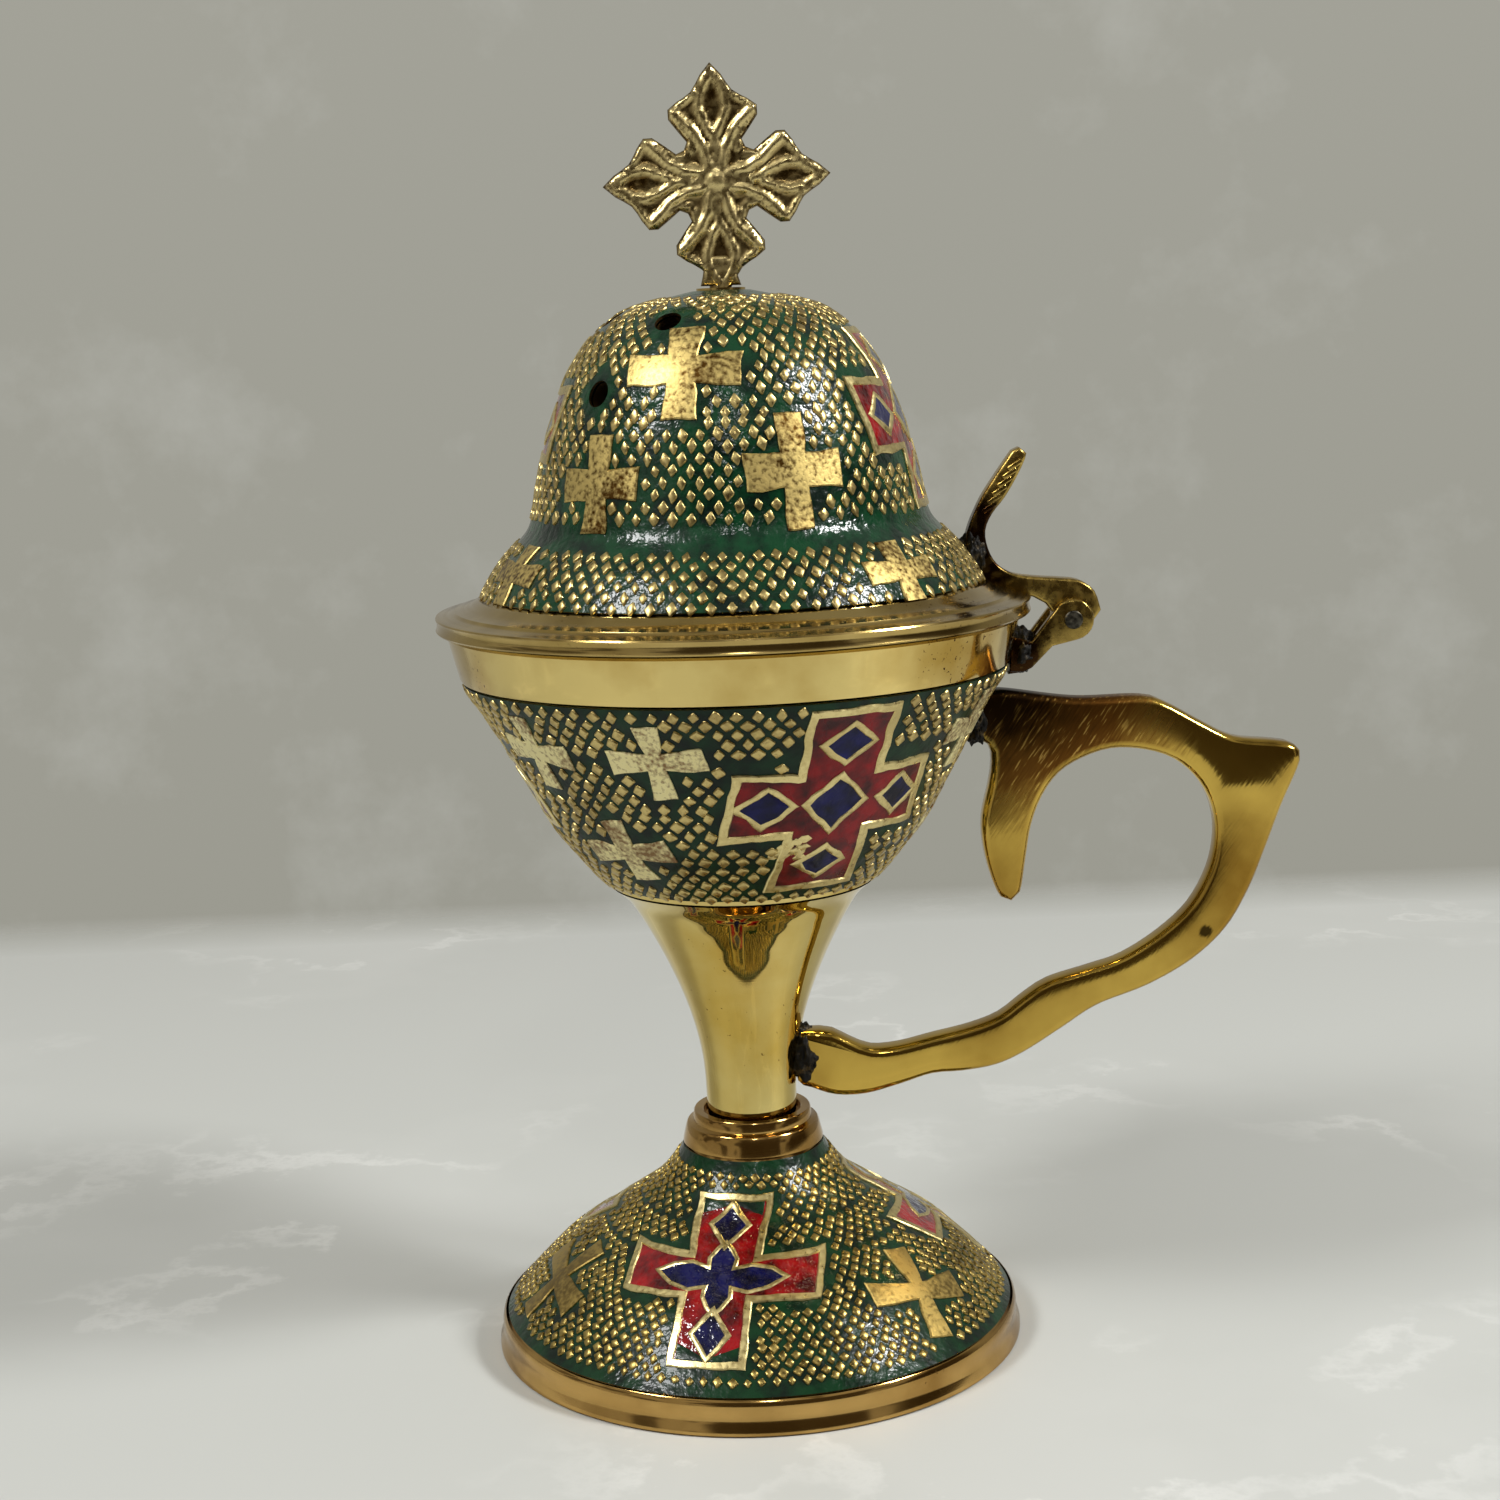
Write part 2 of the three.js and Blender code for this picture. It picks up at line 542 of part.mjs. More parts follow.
// Finial: a flat cast cross with flared arms. One half of an arm, as shares of the arm's length along and across.
const finialThickness = 3.2;
const finialFootWidth = 5.2;
const finialFootTrim = 1.3;
const finialLean = THREE.MathUtils.degToRad(-1.5);
const finialHalfArmShares = [
  [1, 0], [0.9, 0.09], [0.76, 0.18], [0.68, 0.31], [0.62, 0.4], [0.54, 0.4], [0.43, 0.31], [0.34, 0.23],
];
const finialCrotchShare = 0.245;
const tangLength = 6.4;
const finialFootHeight = bossHeight + seatGap;
const finialCentreHeight = finialFootHeight + finialArmLength - finialFootTrim;
const finialShape = new THREE.Shape();
const finialOutline = [0, 1, 2, 3].flatMap((quarter) => {
  const along = new THREE.Vector2(Math.cos((quarter * Math.PI) / 2), Math.sin((quarter * Math.PI) / 2));
  const across = new THREE.Vector2(-along.y, along.x);
  const at = (a, b) => along.clone().multiplyScalar(a).addScaledVector(across, b).multiplyScalar(finialArmLength);
  const rising = finialHalfArmShares.map(([a, b]) => at(a, b));
  const falling = finialHalfArmShares.slice(1).reverse().map(([a, b]) => at(a, -b));
  return [...falling, ...rising, at(finialCrotchShare, finialCrotchShare)];
});
finialShape.setFromPoints(finialOutline);
const finialCross = plate(finialShape, finialThickness, 1).rotateY(finialLean).translate(0, 0, finialCentreHeight);
const finialNeckShare = 0.43;
const finialFootTop = finialCentreHeight - finialArmLength * finialNeckShare;
const finialFoot = new THREE.BoxGeometry(finialFootWidth, finialThickness, finialFootTop - finialFootHeight);
finialFoot.translate(0, 0, (finialFootTop + finialFootHeight) / 2);
const finialCut = new THREE.BoxGeometry(finialArmLength, finialArmLength, finialArmLength);
finialCut.translate(0, 0, finialFootHeight - finialArmLength / 2);
const finialPlate = cut(joined(finialCross, finialFoot), finialCut);
const tang = upright(tangRadius, bossHeight - tangLength, finialFootTop);
add(cover, "finial_cross", joined(finialPlate, tang), castBrass);

// The nut that holds the finial's tang under the dome.
const finialNutAcrossFlats = 5.5;
const finialNutHeight = 2.4;
add(cover, "finial_nut", hexagonNut(
  finialNutAcrossFlats, finialNutHeight, domeCeilingHeight - seatGap, tangRadius + runningClearance,
), steel);

export default censer;
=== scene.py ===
"""Looks of an enamelled brass hand censer: turned bodies, studs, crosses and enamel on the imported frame."""

import bisect
import math
import random

import bmesh
import bpy
from mathutils import Matrix, Vector, noise


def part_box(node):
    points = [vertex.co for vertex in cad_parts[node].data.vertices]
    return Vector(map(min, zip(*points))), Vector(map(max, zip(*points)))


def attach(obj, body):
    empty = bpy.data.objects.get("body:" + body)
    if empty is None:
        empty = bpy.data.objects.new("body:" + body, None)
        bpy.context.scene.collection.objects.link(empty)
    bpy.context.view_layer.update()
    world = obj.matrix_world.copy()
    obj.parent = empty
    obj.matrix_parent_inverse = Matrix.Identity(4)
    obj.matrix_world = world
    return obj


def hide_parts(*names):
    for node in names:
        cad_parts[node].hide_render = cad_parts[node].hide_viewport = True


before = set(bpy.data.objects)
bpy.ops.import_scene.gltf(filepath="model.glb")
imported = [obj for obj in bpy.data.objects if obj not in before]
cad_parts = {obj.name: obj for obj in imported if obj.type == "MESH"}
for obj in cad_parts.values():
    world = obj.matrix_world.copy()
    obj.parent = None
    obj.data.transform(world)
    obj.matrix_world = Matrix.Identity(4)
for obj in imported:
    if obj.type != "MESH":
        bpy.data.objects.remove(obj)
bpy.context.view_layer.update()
random.seed(7)

# Camera: at the photograph's height and distance, in front of the axis that all turned pieces share, and
# looking down a little.
foot_low, foot_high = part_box("foot")
axis = (foot_low.x + foot_high.x) / 2
away, eye_height = 0.31136, 0.1321
down, aside, tilt = 0.1704, -0.0048, -0.0375
camera = bpy.data.objects.new("camera", bpy.data.cameras.new("camera"))
scene = bpy.context.scene
scene.collection.objects.link(camera)
scene.camera = camera
camera.data.lens = 58.47
camera.data.clip_start = 0.01
camera.matrix_world = (
    Matrix.Translation((axis, -away, eye_height))
    @ Matrix.Rotation(aside, 4, "Z")
    @ Matrix.Rotation(math.radians(90) - down, 4, "X")
    @ Matrix.Rotation(tilt, 4, "Z")
)
scene.view_settings.view_transform = "Standard"


# Foot: a brass dish turned on a lathe, hollow below and with a collar on top, and the ring of green enamel
# fired onto it. Outlines are in mm, [radius, height], and climb on the outside.
def colour(code):
    """A linear colour from an sRGB hex code."""
    values = [int(code[i:i + 2], 16) / 255 for i in (1, 3, 5)]
    return [v / 12.92 if v <= 0.04045 else ((v + 0.055) / 1.055) ** 2.4 for v in values] + [1.0]


def add_node(tree, kind, inputs, **settings):
    """Adds a node, links or sets its inputs by name or index, and gives its outputs. A MapRange maps 1 to 2
    onto 3 to 4, MULTIPLY_ADD is 0 times 1 plus 2, and a text is a colour's code."""
    made = tree.nodes.new("ShaderNode" + kind)
    for key, value in settings.items():
        setattr(made, key, value)
    for key, value in inputs.items():
        if isinstance(value, bpy.types.NodeSocket):
            tree.links.new(value, made.inputs[key])
        else:
            made.inputs[key].default_value = colour(value) if isinstance(value, str) else value
    return made.outputs


def spots(tree, where, size, detail):
    """Noise in spots about size mm across."""
    return add_node(tree, "TexNoise", {"Vector": where, "Scale": 1000 / size, "Detail": detail})[0]


def mixed(tree, share, start, end):
    """A colour from start to end, by the share of the end."""
    return add_node(tree, "Mix", {0: share, 6: start, 7: end}, data_type="RGBA")[2]


def new_material(name, **constants):
    """A material, its tree, its shader with these constant inputs, and its object coordinates."""
    made = bpy.data.materials.new(name)
    made.use_nodes = True
    shader = made.node_tree.nodes["Principled BSDF"]
    for key, value in constants.items():
        shader.inputs[key.replace("_", " ")].default_value = value
    return made, made.node_tree, shader, add_node(made.node_tree, "TexCoord", {})["Object"]


def connect(tree, shader, base, roughness, height, depth):
    """Links a colour, a roughness and a bump of a depth in micrometres."""
    tree.links.new(base, shader.inputs["Base Color"])
    tree.links.new(roughness, shader.inputs["Roughness"])
    bump = add_node(tree, "Bump", {"Height": height, "Distance": depth * 1e-6, "Strength": 1.0})
    tree.links.new(bump[0], shader.inputs["Normal"])
    if shader.inputs["Coat Weight"].default_value:
        tree.links.new(bump[0], shader.inputs["Coat Normal"])


def turned_brass(name, bright, dark, roughness, pits, lines):
    """Brass off a lathe. Rings, as deep as lines in micrometres, draw reflections out round it. They are
    0.5 mm apart, coarser than real ones, so that they show. Tarnish clouds it, and brown pits age it."""
    made, tree, shader, where = new_material(name, Metallic=1.0)
    split = add_node(tree, "SeparateXYZ", {0: where})
    off_axis = add_node(tree, "Math", {0: split[0], 1: -axis}, operation="ADD")[0]
    flat = add_node(tree, "CombineXYZ", {0: off_axis, 1: split[1]})[0]
    radius = add_node(tree, "VectorMath", {0: flat}, operation="LENGTH")["Value"]
    by_ring = add_node(tree, "CombineXYZ", {0: radius, 2: split[2]})[0]
    rings = spots(tree, by_ring, 0.5, 3.0)
    clouds = spots(tree, where, 14.0, 6.0)
    pit = spots(tree, where, 0.5, 3.0)
    pit = add_node(tree, "MapRange", {0: pit, 1: 0.7 - 0.2 * pits, 2: 0.76 - 0.2 * pits})[0]
    pitted = add_node(tree, "MapRange", {0: clouds, 1: 0.53, 2: 0.63})[0]
    pitted = add_node(tree, "Math", {0: pit, 1: pitted}, operation="MULTIPLY")[0]
    tarnish = add_node(tree, "MapRange", {0: clouds, 1: 0.4, 2: 0.7})[0]
    base = mixed(tree, tarnish, bright, dark)
    base = mixed(tree, pitted, base, "#4a3216")
    rough = add_node(tree, "MapRange", {0: rings, 1: 0.3, 2: 0.7, 3: roughness, 4: roughness * 1.6})[0]
    rough = add_node(tree, "Math", {0: pitted, 1: 0.35, 2: rough}, operation="MULTIPLY_ADD")[0]
    sunk = add_node(tree, "Math", {0: pitted, 1: -3.0, 2: rings}, operation="MULTIPLY_ADD")[0]
    connect(tree, shader, base, rough, sunk, lines)
    return made


def enamel(name, deep, bright, wave, gloss):
    """Fired glass. Its clear coat glints, and its waves, in micrometres, break the glints up. Its colour
    drifts between two shades, which gives it depth. A low gloss is a worn surface."""
    made, tree, shader, where = new_material(
        name, Coat_Weight=gloss, Coat_Roughness=0.04, Specular_IOR_Level=0.15 + 0.6 * gloss,
    )
    shade = spots(tree, where, 3.0, 4.0)
    shade = add_node(tree, "MapRange", {0: shade, 1: 0.36, 2: 0.62})[0]
    base = mixed(tree, shade, deep, bright)
    dull = 0.34 - 0.7 * gloss
    wear = spots(tree, where, 6.7, 4.0)
    wear = add_node(tree, "MapRange", {0: wear, 1: 0.4, 2: 0.7, 3: dull, 4: dull + 0.12})[0]
    waves = spots(tree, where, 1.05, 2.0)
    connect(tree, shader, base, wear, waves, wave)
    return made


# Reddish gold, which mirrors the table in soft rings.
foot_brass = turned_brass("foot_brass", "#c9a360", "#8d6a34", 0.09, 0.1, 1.5)
# The same brass left rough inside and darkened by smoke, which takes its shine away.
inside_brass = turned_brass("inside_brass", "#6b5330", "#2a2118", 0.42, 0.9, 20)
# A green that is nearly black in the shade and glints in points.
green_enamel = enamel("green_enamel", "#04170d", "#0a3219", 120, 0.18)


def smooth(points, step=0.6):
    """A smooth line through the points, cut about every step."""
    padded = [points[0], *points, points[-1]]
    line = []
    for before, start, end, after in zip(padded, padded[1:], padded[2:], padded[3:]):
        count = max(1, round(math.dist(start, end) / step))
        for i in range(count):
            t = i / count
            line.append(tuple((
                2 * b + (c - a) * t + (2 * a - 5 * b + 4 * c - d) * t ** 2 + (3 * b - a - 3 * c + d) * t ** 3
            ) / 2 for a, b, c, d in zip(before, start, end, after)))
    return [*line, tuple(points[-1])]


def offset(line, depth):
    """The line moved by depth to the left of its direction, which is inwards for one that climbs."""
    moved = []
    for i, (across, up) in enumerate(line):
        start, end = Vector(line[max(i - 1, 0)]), Vector(line[min(i + 1, len(line) - 1)])
        along = (end - start).normalized()
        moved.append((across - depth * along.y, up + depth * along.x))
    return moved


to_metres = Matrix.Translation((axis, 0, 0)) @ Matrix.Scale(0.001, 4)


def new_object(name, bm, materials):
    """An object at the origin, made of a mesh in metres."""
    mesh = bpy.data.meshes.new(name)
    bm.to_mesh(mesh)
    bm.free()
    for material in materials:
        mesh.materials.append(material)
    made = bpy.data.objects.new(name, mesh)
    scene.collection.objects.link(made)
    return made


def new_piece(name, bm, materials, body, replaced=(), sharp=32, turn_out=True):
    """A piece made of a mesh in mm about the axis. It rides on a body and may stand for CAD nodes."""
    if turn_out:
        bmesh.ops.recalc_face_normals(bm, faces=bm.faces)
    bm.transform(to_metres)
    piece = new_object(name, bm, materials)
    piece.data.polygons.foreach_set("use_smooth", [True] * len(piece.data.polygons))
    piece.data.set_sharp_from_angle(angle=math.radians(sharp))
    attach(piece, body)
    if replaced:
        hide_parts(*replaced)
    return piece


def spun(profile, steps=192, inner=None):
    """A mesh turned from a closed profile. Faces for which inner is true get the second material."""
    bm = bmesh.new()
    ring = [bm.verts.new((radius, 0, height)) for radius, height in profile]
    edges = [bm.edges.new(pair) for pair in zip(ring, [*ring[1:], ring[0]])]
    bmesh.ops.spin(
        bm, geom=ring + edges, axis=(0, 0, 1), cent=(0, 0, 0), angle=math.tau, steps=steps, use_merge=True,
    )
    if inner:
        for face in bm.faces:
            middle = face.calc_center_median()
            face.material_index = int(inner(math.hypot(middle.x, middle.y), middle.z))
    return bm


def enamel_ring(field):
    """A mesh of the enamel on a field: a little below the brass, short of its ends, and 0.4 mm thick."""
    top = offset(field[1:-1], 0.14)
    return spun([*top, *reversed(offset(top, 0.4))])


# How deep the bed for the enamel and the inside of the wall lie below a field, in mm.
bed, wall = 0.8, 2.5
foot_field = smooth([
    (34.0, 4.5), (32.4, 6), (29.5, 9), (26.4, 12), (22.1, 15), (17.5, 18), (13.25, 21), (10.65, 24),
    (9.3, 26.4),
])
foot_inside = [point for point in offset(foot_field, wall) if point[1] < 23.9]
foot_profile = [
    (32.4, 0), (34.6, 0), (34.9, 0.25), (34.85, 0.8), (34.45, 1.5), (34.3, 2.6), (34.4, 3.5), (34.25, 4.2),
    (34.0, 4.5), *offset(foot_field, bed), (9.3, 26.4), (9.25, 26.8), (9.0, 27.8), (8.75, 28.75),
    (8.6, 28.95), (8.0, 29.1), (7.85, 29.25), (7.75, 30.4), (7.6, 30.6), (6.6, 30.6), (6.45, 30.5),
    (6.3, 29.6), (2.8, 29.6), (2.8, 24.3), (foot_inside[-1][0], 24.3), *reversed(foot_inside),
]
new_piece(
    "foot_body", spun(foot_profile, inner=lambda radius, height: height < 24.5 and radius < 30 - height),
    [foot_brass, inside_brass], "cup", ["foot"],
)
new_piece("foot_field", enamel_ring(foot_field), [green_enamel], "cup", ["foot_enamel"])


# Relief on the foot: brass studs in a lattice, plain brass crosses, and red crosses with blue middles, all a
# little proud of the green. A shape is drawn flat in mm round its middle, cut fine, and bent onto the field.
def cast_brass(name, bright, dark, roughness, grain, depth, tarnish):
    """Brass with a cast skin, whose grain, in mm, breaks up its shine. It is tarnished in specks on a share
    of it, and darkened where the piece's own attribute marks dirt and painted shade, which sets its relief
    off."""
    made, tree, shader, where = new_material(name, Metallic=1.0)
    skin = spots(tree, where, grain, 5.0)
    patches = spots(tree, where, 8.0, 4.0)
    both = add_node(tree, "Math", {0: skin, 1: patches}, operation="MULTIPLY")[0]
    specks = add_node(tree, "MapRange", {0: both, 1: 0.16, 2: 0.3, 3: tarnish, 4: 0.0})[0]
    # This attribute brings in dirt and painted shade: on some pieces it darkens hollows and edges as painted
    # shade.
    marked = add_node(tree, "Attribute", {}, attribute_name="dirt_and_shade")["Fac"]
    dirt_and_shade = add_node(tree, "Math", {0: specks, 1: marked}, operation="ADD", use_clamp=True)[0]
    base = mixed(tree, dirt_and_shade, bright, dark)
    rough = add_node(tree, "MapRange", {0: skin, 1: 0.3, 2: 0.7, 3: roughness, 4: roughness + 0.2})[0]
    connect(tree, shader, base, rough, skin, depth)
    return made


# The foot's studs and crosses are a darker, browner copy of the gold: painted shade, as the foot lies in
# shadow. The rims of the red crosses are a pale gold.
shaded_foot_stud_brass = cast_brass("shaded_foot_stud_brass", "#b59e5c", "#4c3c1c", 0.22, 0.7, 40, 0.6)
shaded_foot_cross_brass = cast_brass("shaded_foot_cross_brass", "#b79d5a", "#4f3a1a", 0.3, 0.6, 30, 0.6)
rim_brass = cast_brass("rim_brass", "#e0cf93", "#94793c", 0.24, 0.7, 40, 0.4)
# Red and blue lie thicker than the green and shine wetly.
red_enamel = enamel("red_enamel", "#3c0307", "#960a12", 220, 0.44)
blue_enamel = enamel("blue_enamel", "#04051a", "#0e1148", 200, 0.4)


def lengths(field):
    """How far along the field each of its points lies."""
    total = [0.0]
    for start, end in zip(field, field[1:]):
        total.append(total[-1] + math.dist(start, end))
    return total


def way_up(field, height):
    """How far along the field a height is reached."""
    heights = [point[1] for point in field]
    upper = min(max(bisect.bisect(heights, height), 1), len(field) - 1)
    share = (height - heights[upper - 1]) / (heights[upper] - heights[upper - 1])
    total = lengths(field)
    return total[upper - 1] + share * (total[upper] - total[upper - 1])


def bender(field):
    """A function from degrees round and mm along the field, across, up and proud to a point in mm."""
    total = lengths(field)

    def bend(degrees, along, across, up, proud):
        place = min(max(along + up, 0.01), total[-1] - 0.01)
        upper = min(max(bisect.bisect(total, place), 1), len(field) - 1)
        share = (place - total[upper - 1]) / (total[upper] - total[upper - 1])
        (r0, z0), (r1, z1) = field[upper - 1], field[upper]
        radius, height = r0 + (r1 - r0) * share, z0 + (z1 - z0) * share
        along_field = Vector((r1 - r0, z1 - z0)).normalized()
        turn = math.radians(degrees) + across / radius
        reach = radius + proud * along_field.y
        return Vector((reach * math.sin(turn), -reach * math.cos(turn), height - proud * along_field.x))

    return bend


def onto(field, degrees, height, right=0.0, higher=0.0, deeper=0.0):
    """A function that bends a motif's points onto the field, round a middle and shifted from it in mm."""
    bend, along = bender(field), way_up(field, height)
    return lambda across, up, proud: bend(degrees, along, across + right, up + higher, proud - deeper)


def cross(wide, tall, post, bar, flare):
    """The corners of a cross whose four arms widen by flare to their ends."""
    quarter = [(wide / 2, -bar / 2 - flare), (wide / 2, bar / 2 + flare), (post / 2, bar / 2)]
    end = [(post / 2 + flare, tall / 2), (-post / 2 - flare, tall / 2), (-post / 2, bar / 2)]
    half = quarter + end
    return half + [(-x, -y) for x, y in half]


def diamond(wide, tall):
    """The corners of a diamond and the middles of its sides, from its half width and half height."""
    corners = []
    for x, y in ((1, 0), (0.5, 0.5)):
        corners += [(a * wide, b * tall) for a, b in ((x, y), (-y, x), (-x, -y), (y, -x))]
    return [corners[i] for i in (0, 4, 1, 5, 2, 6, 3, 7)]


def inset(bm, face, thickness, depth):
    """Draws the face in from its edges and moves it by depth along its normal."""
    face.normal_update()
    bmesh.ops.inset_region(
        bm, faces=[face], thickness=thickness, depth=depth, use_boundary=True, use_even_offset=True,
    )


def close(bm):
    """Closes the underside of a shape."""
    bmesh.ops.contextual_create(bm, geom=[edge for edge in bm.edges if edge.is_boundary])


def add_part(bm, part):
    """Moves a part's mesh into another."""
    mesh = bpy.data.meshes.new("part")
    part.to_mesh(mesh)
    part.free()
    bm.from_mesh(mesh)
    bpy.data.meshes.remove(mesh)


def raised(bm, corners, place, slots=(0,), border=0.0, rise=0.1, sunk=0.16, lean=0.0, waver=0.12, cell=1.1,
           slope=0.16):
    """Adds a raised shape, bent by place and cut into cells, that reaches below the field. With a border,
    what lies within is sunk and takes the second slot. Waver makes it uneven, as hand work is."""
    below = 0.35
    flat = bmesh.new()
    whole = flat.faces.new([flat.verts.new((x, y, -below)) for x, y in corners])
    whole.material_index = slots[0]
    inset(flat, whole, 0.04, below)
    inset(flat, whole, slope, rise)
    if border:
        inset(flat, whole, border, 0)
        inset(flat, whole, 0.12, -sunk)
        whole.material_index = slots[1]
    close(flat)
    for normal, span in (((1, 0, 0), [x for x, _ in corners]), ((0, 1, 0), [y for _, y in corners])):
        for i in range(math.ceil(min(span) / cell), math.floor(max(span) / cell) + 1):
            parts = flat.verts[:] + flat.edges[:] + flat.faces[:]
            cut = Vector(normal) * (i + 0.03) * cell
            bmesh.ops.bisect_plane(flat, geom=parts, plane_co=cut, plane_no=normal)
    bmesh.ops.triangulate(flat, faces=flat.faces)
    turning = Matrix.Rotation(math.radians(lean), 3, "Z")
    shift = random.uniform(-90, 90)
    for vert in flat.verts:
        wobble = noise.noise_vector(Vector((vert.co.x * 0.45 + shift, vert.co.y * 0.45, shift)))
        point = turning @ Vector((vert.co.x + wobble.x * waver, vert.co.y + wobble.y * waver, 0))
        vert.co = place(point.x, point.y, vert.co.z + wobble.z * waver * 0.1)
    add_part(bm, flat)


def plain_crosses(relief, motifs, field, rows, rise, waver):
    """Adds plain brass crosses, each [degrees, height, outline, lean], and notes them as motifs."""
    for degrees, height, outline, lean in rows:
        raised(relief, outline, onto(field, degrees, height), slots=(1,), rise=rise, lean=lean, waver=waver)
    motifs.extend(rows)


def red_cross(relief, motifs, field, degrees, height, outline, border, waver):
    """Adds a cross of red enamel in a brass rim, and notes it as a motif."""
    place = onto(field, degrees, height)
    raised(relief, outline, place, slots=(0, 2), border=border, rise=0.12, sunk=0.2, waver=waver)
    motifs.append((degrees, height, outline, 0))


def blue_diamonds(relief, field, degrees, height, rows, border, waver, cell):
    """Adds diamonds of blue enamel in brass rims to a red cross, each [right, higher, half width, height]."""
    for right, higher, wide, tall in rows:
        place, outline = onto(field, degrees, height, right, higher, 0.02), diamond(wide, tall)
        raised(relief, outline, place, slots=(0, 3), border=border, sunk=0.08, waver=waver, cell=cell)


def off_segment(x, y, start, end):
    """How far a flat point is from the segment between two others."""
    step = Vector(end) - Vector(start)
    share = min(max((Vector((x, y)) - Vector(start)).dot(step) / step.length_squared, 0), 1)
    return math.hypot(x - start[0] - step.x * share, y - start[1] - step.y * share)


def taken_by(motifs, field, margin):
    """A test whether a place is within a margin of a motif. Each is [degrees, height, outline, lean]."""
    total = lengths(field)
    placed = []
    for degrees, height, outline, lean in motifs:
        reach = max(math.hypot(x, y) for x, y in outline) + margin
        placed.append((degrees, way_up(field, height), outline, math.radians(-lean), reach))

    def near(x, y, outline):
        inside = False
        for (x0, y0), (x1, y1) in zip(outline, [*outline[1:], outline[0]]):
            if (y0 > y) != (y1 > y) and x < x0 + (x1 - x0) * (y - y0) / (y1 - y0):
                inside = not inside
            if off_segment(x, y, (x0, y0), (x1, y1)) < margin:
                return True
        return inside

    def taken(degrees, along):
        upper = min(bisect.bisect(total, along), len(field) - 1)
        for middle, place, outline, lean, reach in placed:
            x = math.radians((degrees - middle + 180) % 360 - 180) * field[upper][0]
            y = along - place
            if abs(x) < reach and abs(y) < reach:
                across = x * math.cos(lean) - y * math.sin(lean)
                up = x * math.sin(lean) + y * math.cos(lean)
                if near(across, up, outline):
                    return True
        return False

    return taken


# One lozenge stud, a unit across and up: a foot below the field, a shoulder stud_base above it, and a flat
# top. A unit of its height is stud_height. Both are in mm.
lozenge = [(1, 0.1), (0.14, 0.95), (-0.14, 0.95), (-1, 0.1)]
lozenge += [(x, -y) for x, y in reversed(lozenge)]
one = bmesh.new()
top = one.faces.new([one.verts.new((x, y, -1.0)) for x, y in lozenge])
inset(one, top, 0.08, 1.0)
inset(one, top, 0.12, 0.22)
close(one)
bmesh.ops.recalc_face_normals(one, faces=one.faces)
stud = bpy.data.meshes.new("stud")
one.to_mesh(stud)
one.free()
stud_base, stud_height = 0.06, 0.24


def studs(name, brass, body, field, motifs, zones, margin, width_share, height_share, jitter):
    """A piece of studs in zones, each [start, end, count round, row pitch, mean radius] in mm up the field.
    None is within the margin of a motif. Half their width and height are shares of the pitch and the row."""
    bm = bmesh.new()
    bend, taken = bender(field), taken_by(motifs, field, margin)
    for start, end, count, row, radius in zones:
        pitch = math.tau * radius / count
        for i in range(int((end - start) / row) + 1):
            for j in range(count):
                degrees = 360 * (j + 0.5 * (i % 2)) / count + random.uniform(-jitter, jitter) * 1.5
                along = start + row * i + random.uniform(-jitter, jitter) * 0.8
                if taken(degrees, along):
                    continue
                wide = pitch * width_share * random.uniform(0.8, 1.15)
                tall = row * height_share * random.uniform(0.8, 1.1)
                lean = Matrix.Rotation(random.uniform(-0.22, 0.22), 3, "Z")
                low = len(bm.verts)
                bm.from_mesh(stud)
                bm.verts.ensure_lookup_table()
                for vert in bm.verts[low:]:
                    flat = lean @ Vector((vert.co.x * wide, vert.co.y * tall, 0))
                    vert.co = bend(degrees, along, flat.x, flat.y, stud_base + vert.co.z * stud_height)
    new_piece(name, bm, [brass], body, sharp=50, turn_out=False)


foot_red = cross(27.0, 25.0, 9.7, 7.2, 0.3)
foot_plain = cross(15.0, 13.6, 2.4, 2.6, 0.7)
star = [(9.2, 0), (6.6, 1.7), (3.9, 2.4), (2.0, 1.9), (2.1, 3.0), (1.2, 4.6)]
star += [(0, 6.0)] + [(-x, y) for x, y in reversed(star[1:])]
star += [(-x, -y) for x, y in star]
arm_end = [(4.1, 9.3), (4.1, 11.6), (-4.1, 11.6), (-4.1, 9.3), (0.0, 11.0)]
foot_motifs = []
foot_relief = bmesh.new()
for turn in (0, 120, 240):
    plain_crosses(foot_relief, foot_motifs, foot_field, [(turn + 48.7, 11.2, foot_plain, -14)], 0.12, 0.3)
    middle = turn - 13, 15.2
    red_cross(foot_relief, foot_motifs, foot_field, *middle, foot_red, 0.75, 0.3)
    raised(foot_relief, star, onto(foot_field, *middle, deeper=0.04), slots=(0, 3), border=0.3, sunk=0.08)
    blue_diamonds(foot_relief, foot_field, *middle, [(0, 8.0, 2.9, 4.0), (0, -8.0, 2.9, 4.0)], 0.4, 0.25, 1.6)
    for side in (1, -1):
        end = [(side * x, side * y) for x, y in arm_end]
        raised(foot_relief, end, onto(foot_field, *middle, deeper=0.1), slots=(4,), rise=0.05, cell=1.4)
new_piece(
    "foot_relief", foot_relief, [rim_brass, shaded_foot_cross_brass, red_enamel, blue_enamel, green_enamel], "cup",
)
studs("foot_studs", shaded_foot_stud_brass, "cup", foot_field, foot_motifs, [
    (2.2, 6.9, 112, 1.08, 31.0), (7.6, 12.9, 96, 1.06, 27.0), (13.6, 18.7, 76, 1.04, 21.4),
    (19.4, 24.2, 58, 1.02, 16.0), (24.9, 31.4, 42, 1.0, 11.0),
], margin=0.7, width_share=0.36, height_share=0.68, jitter=0.16)

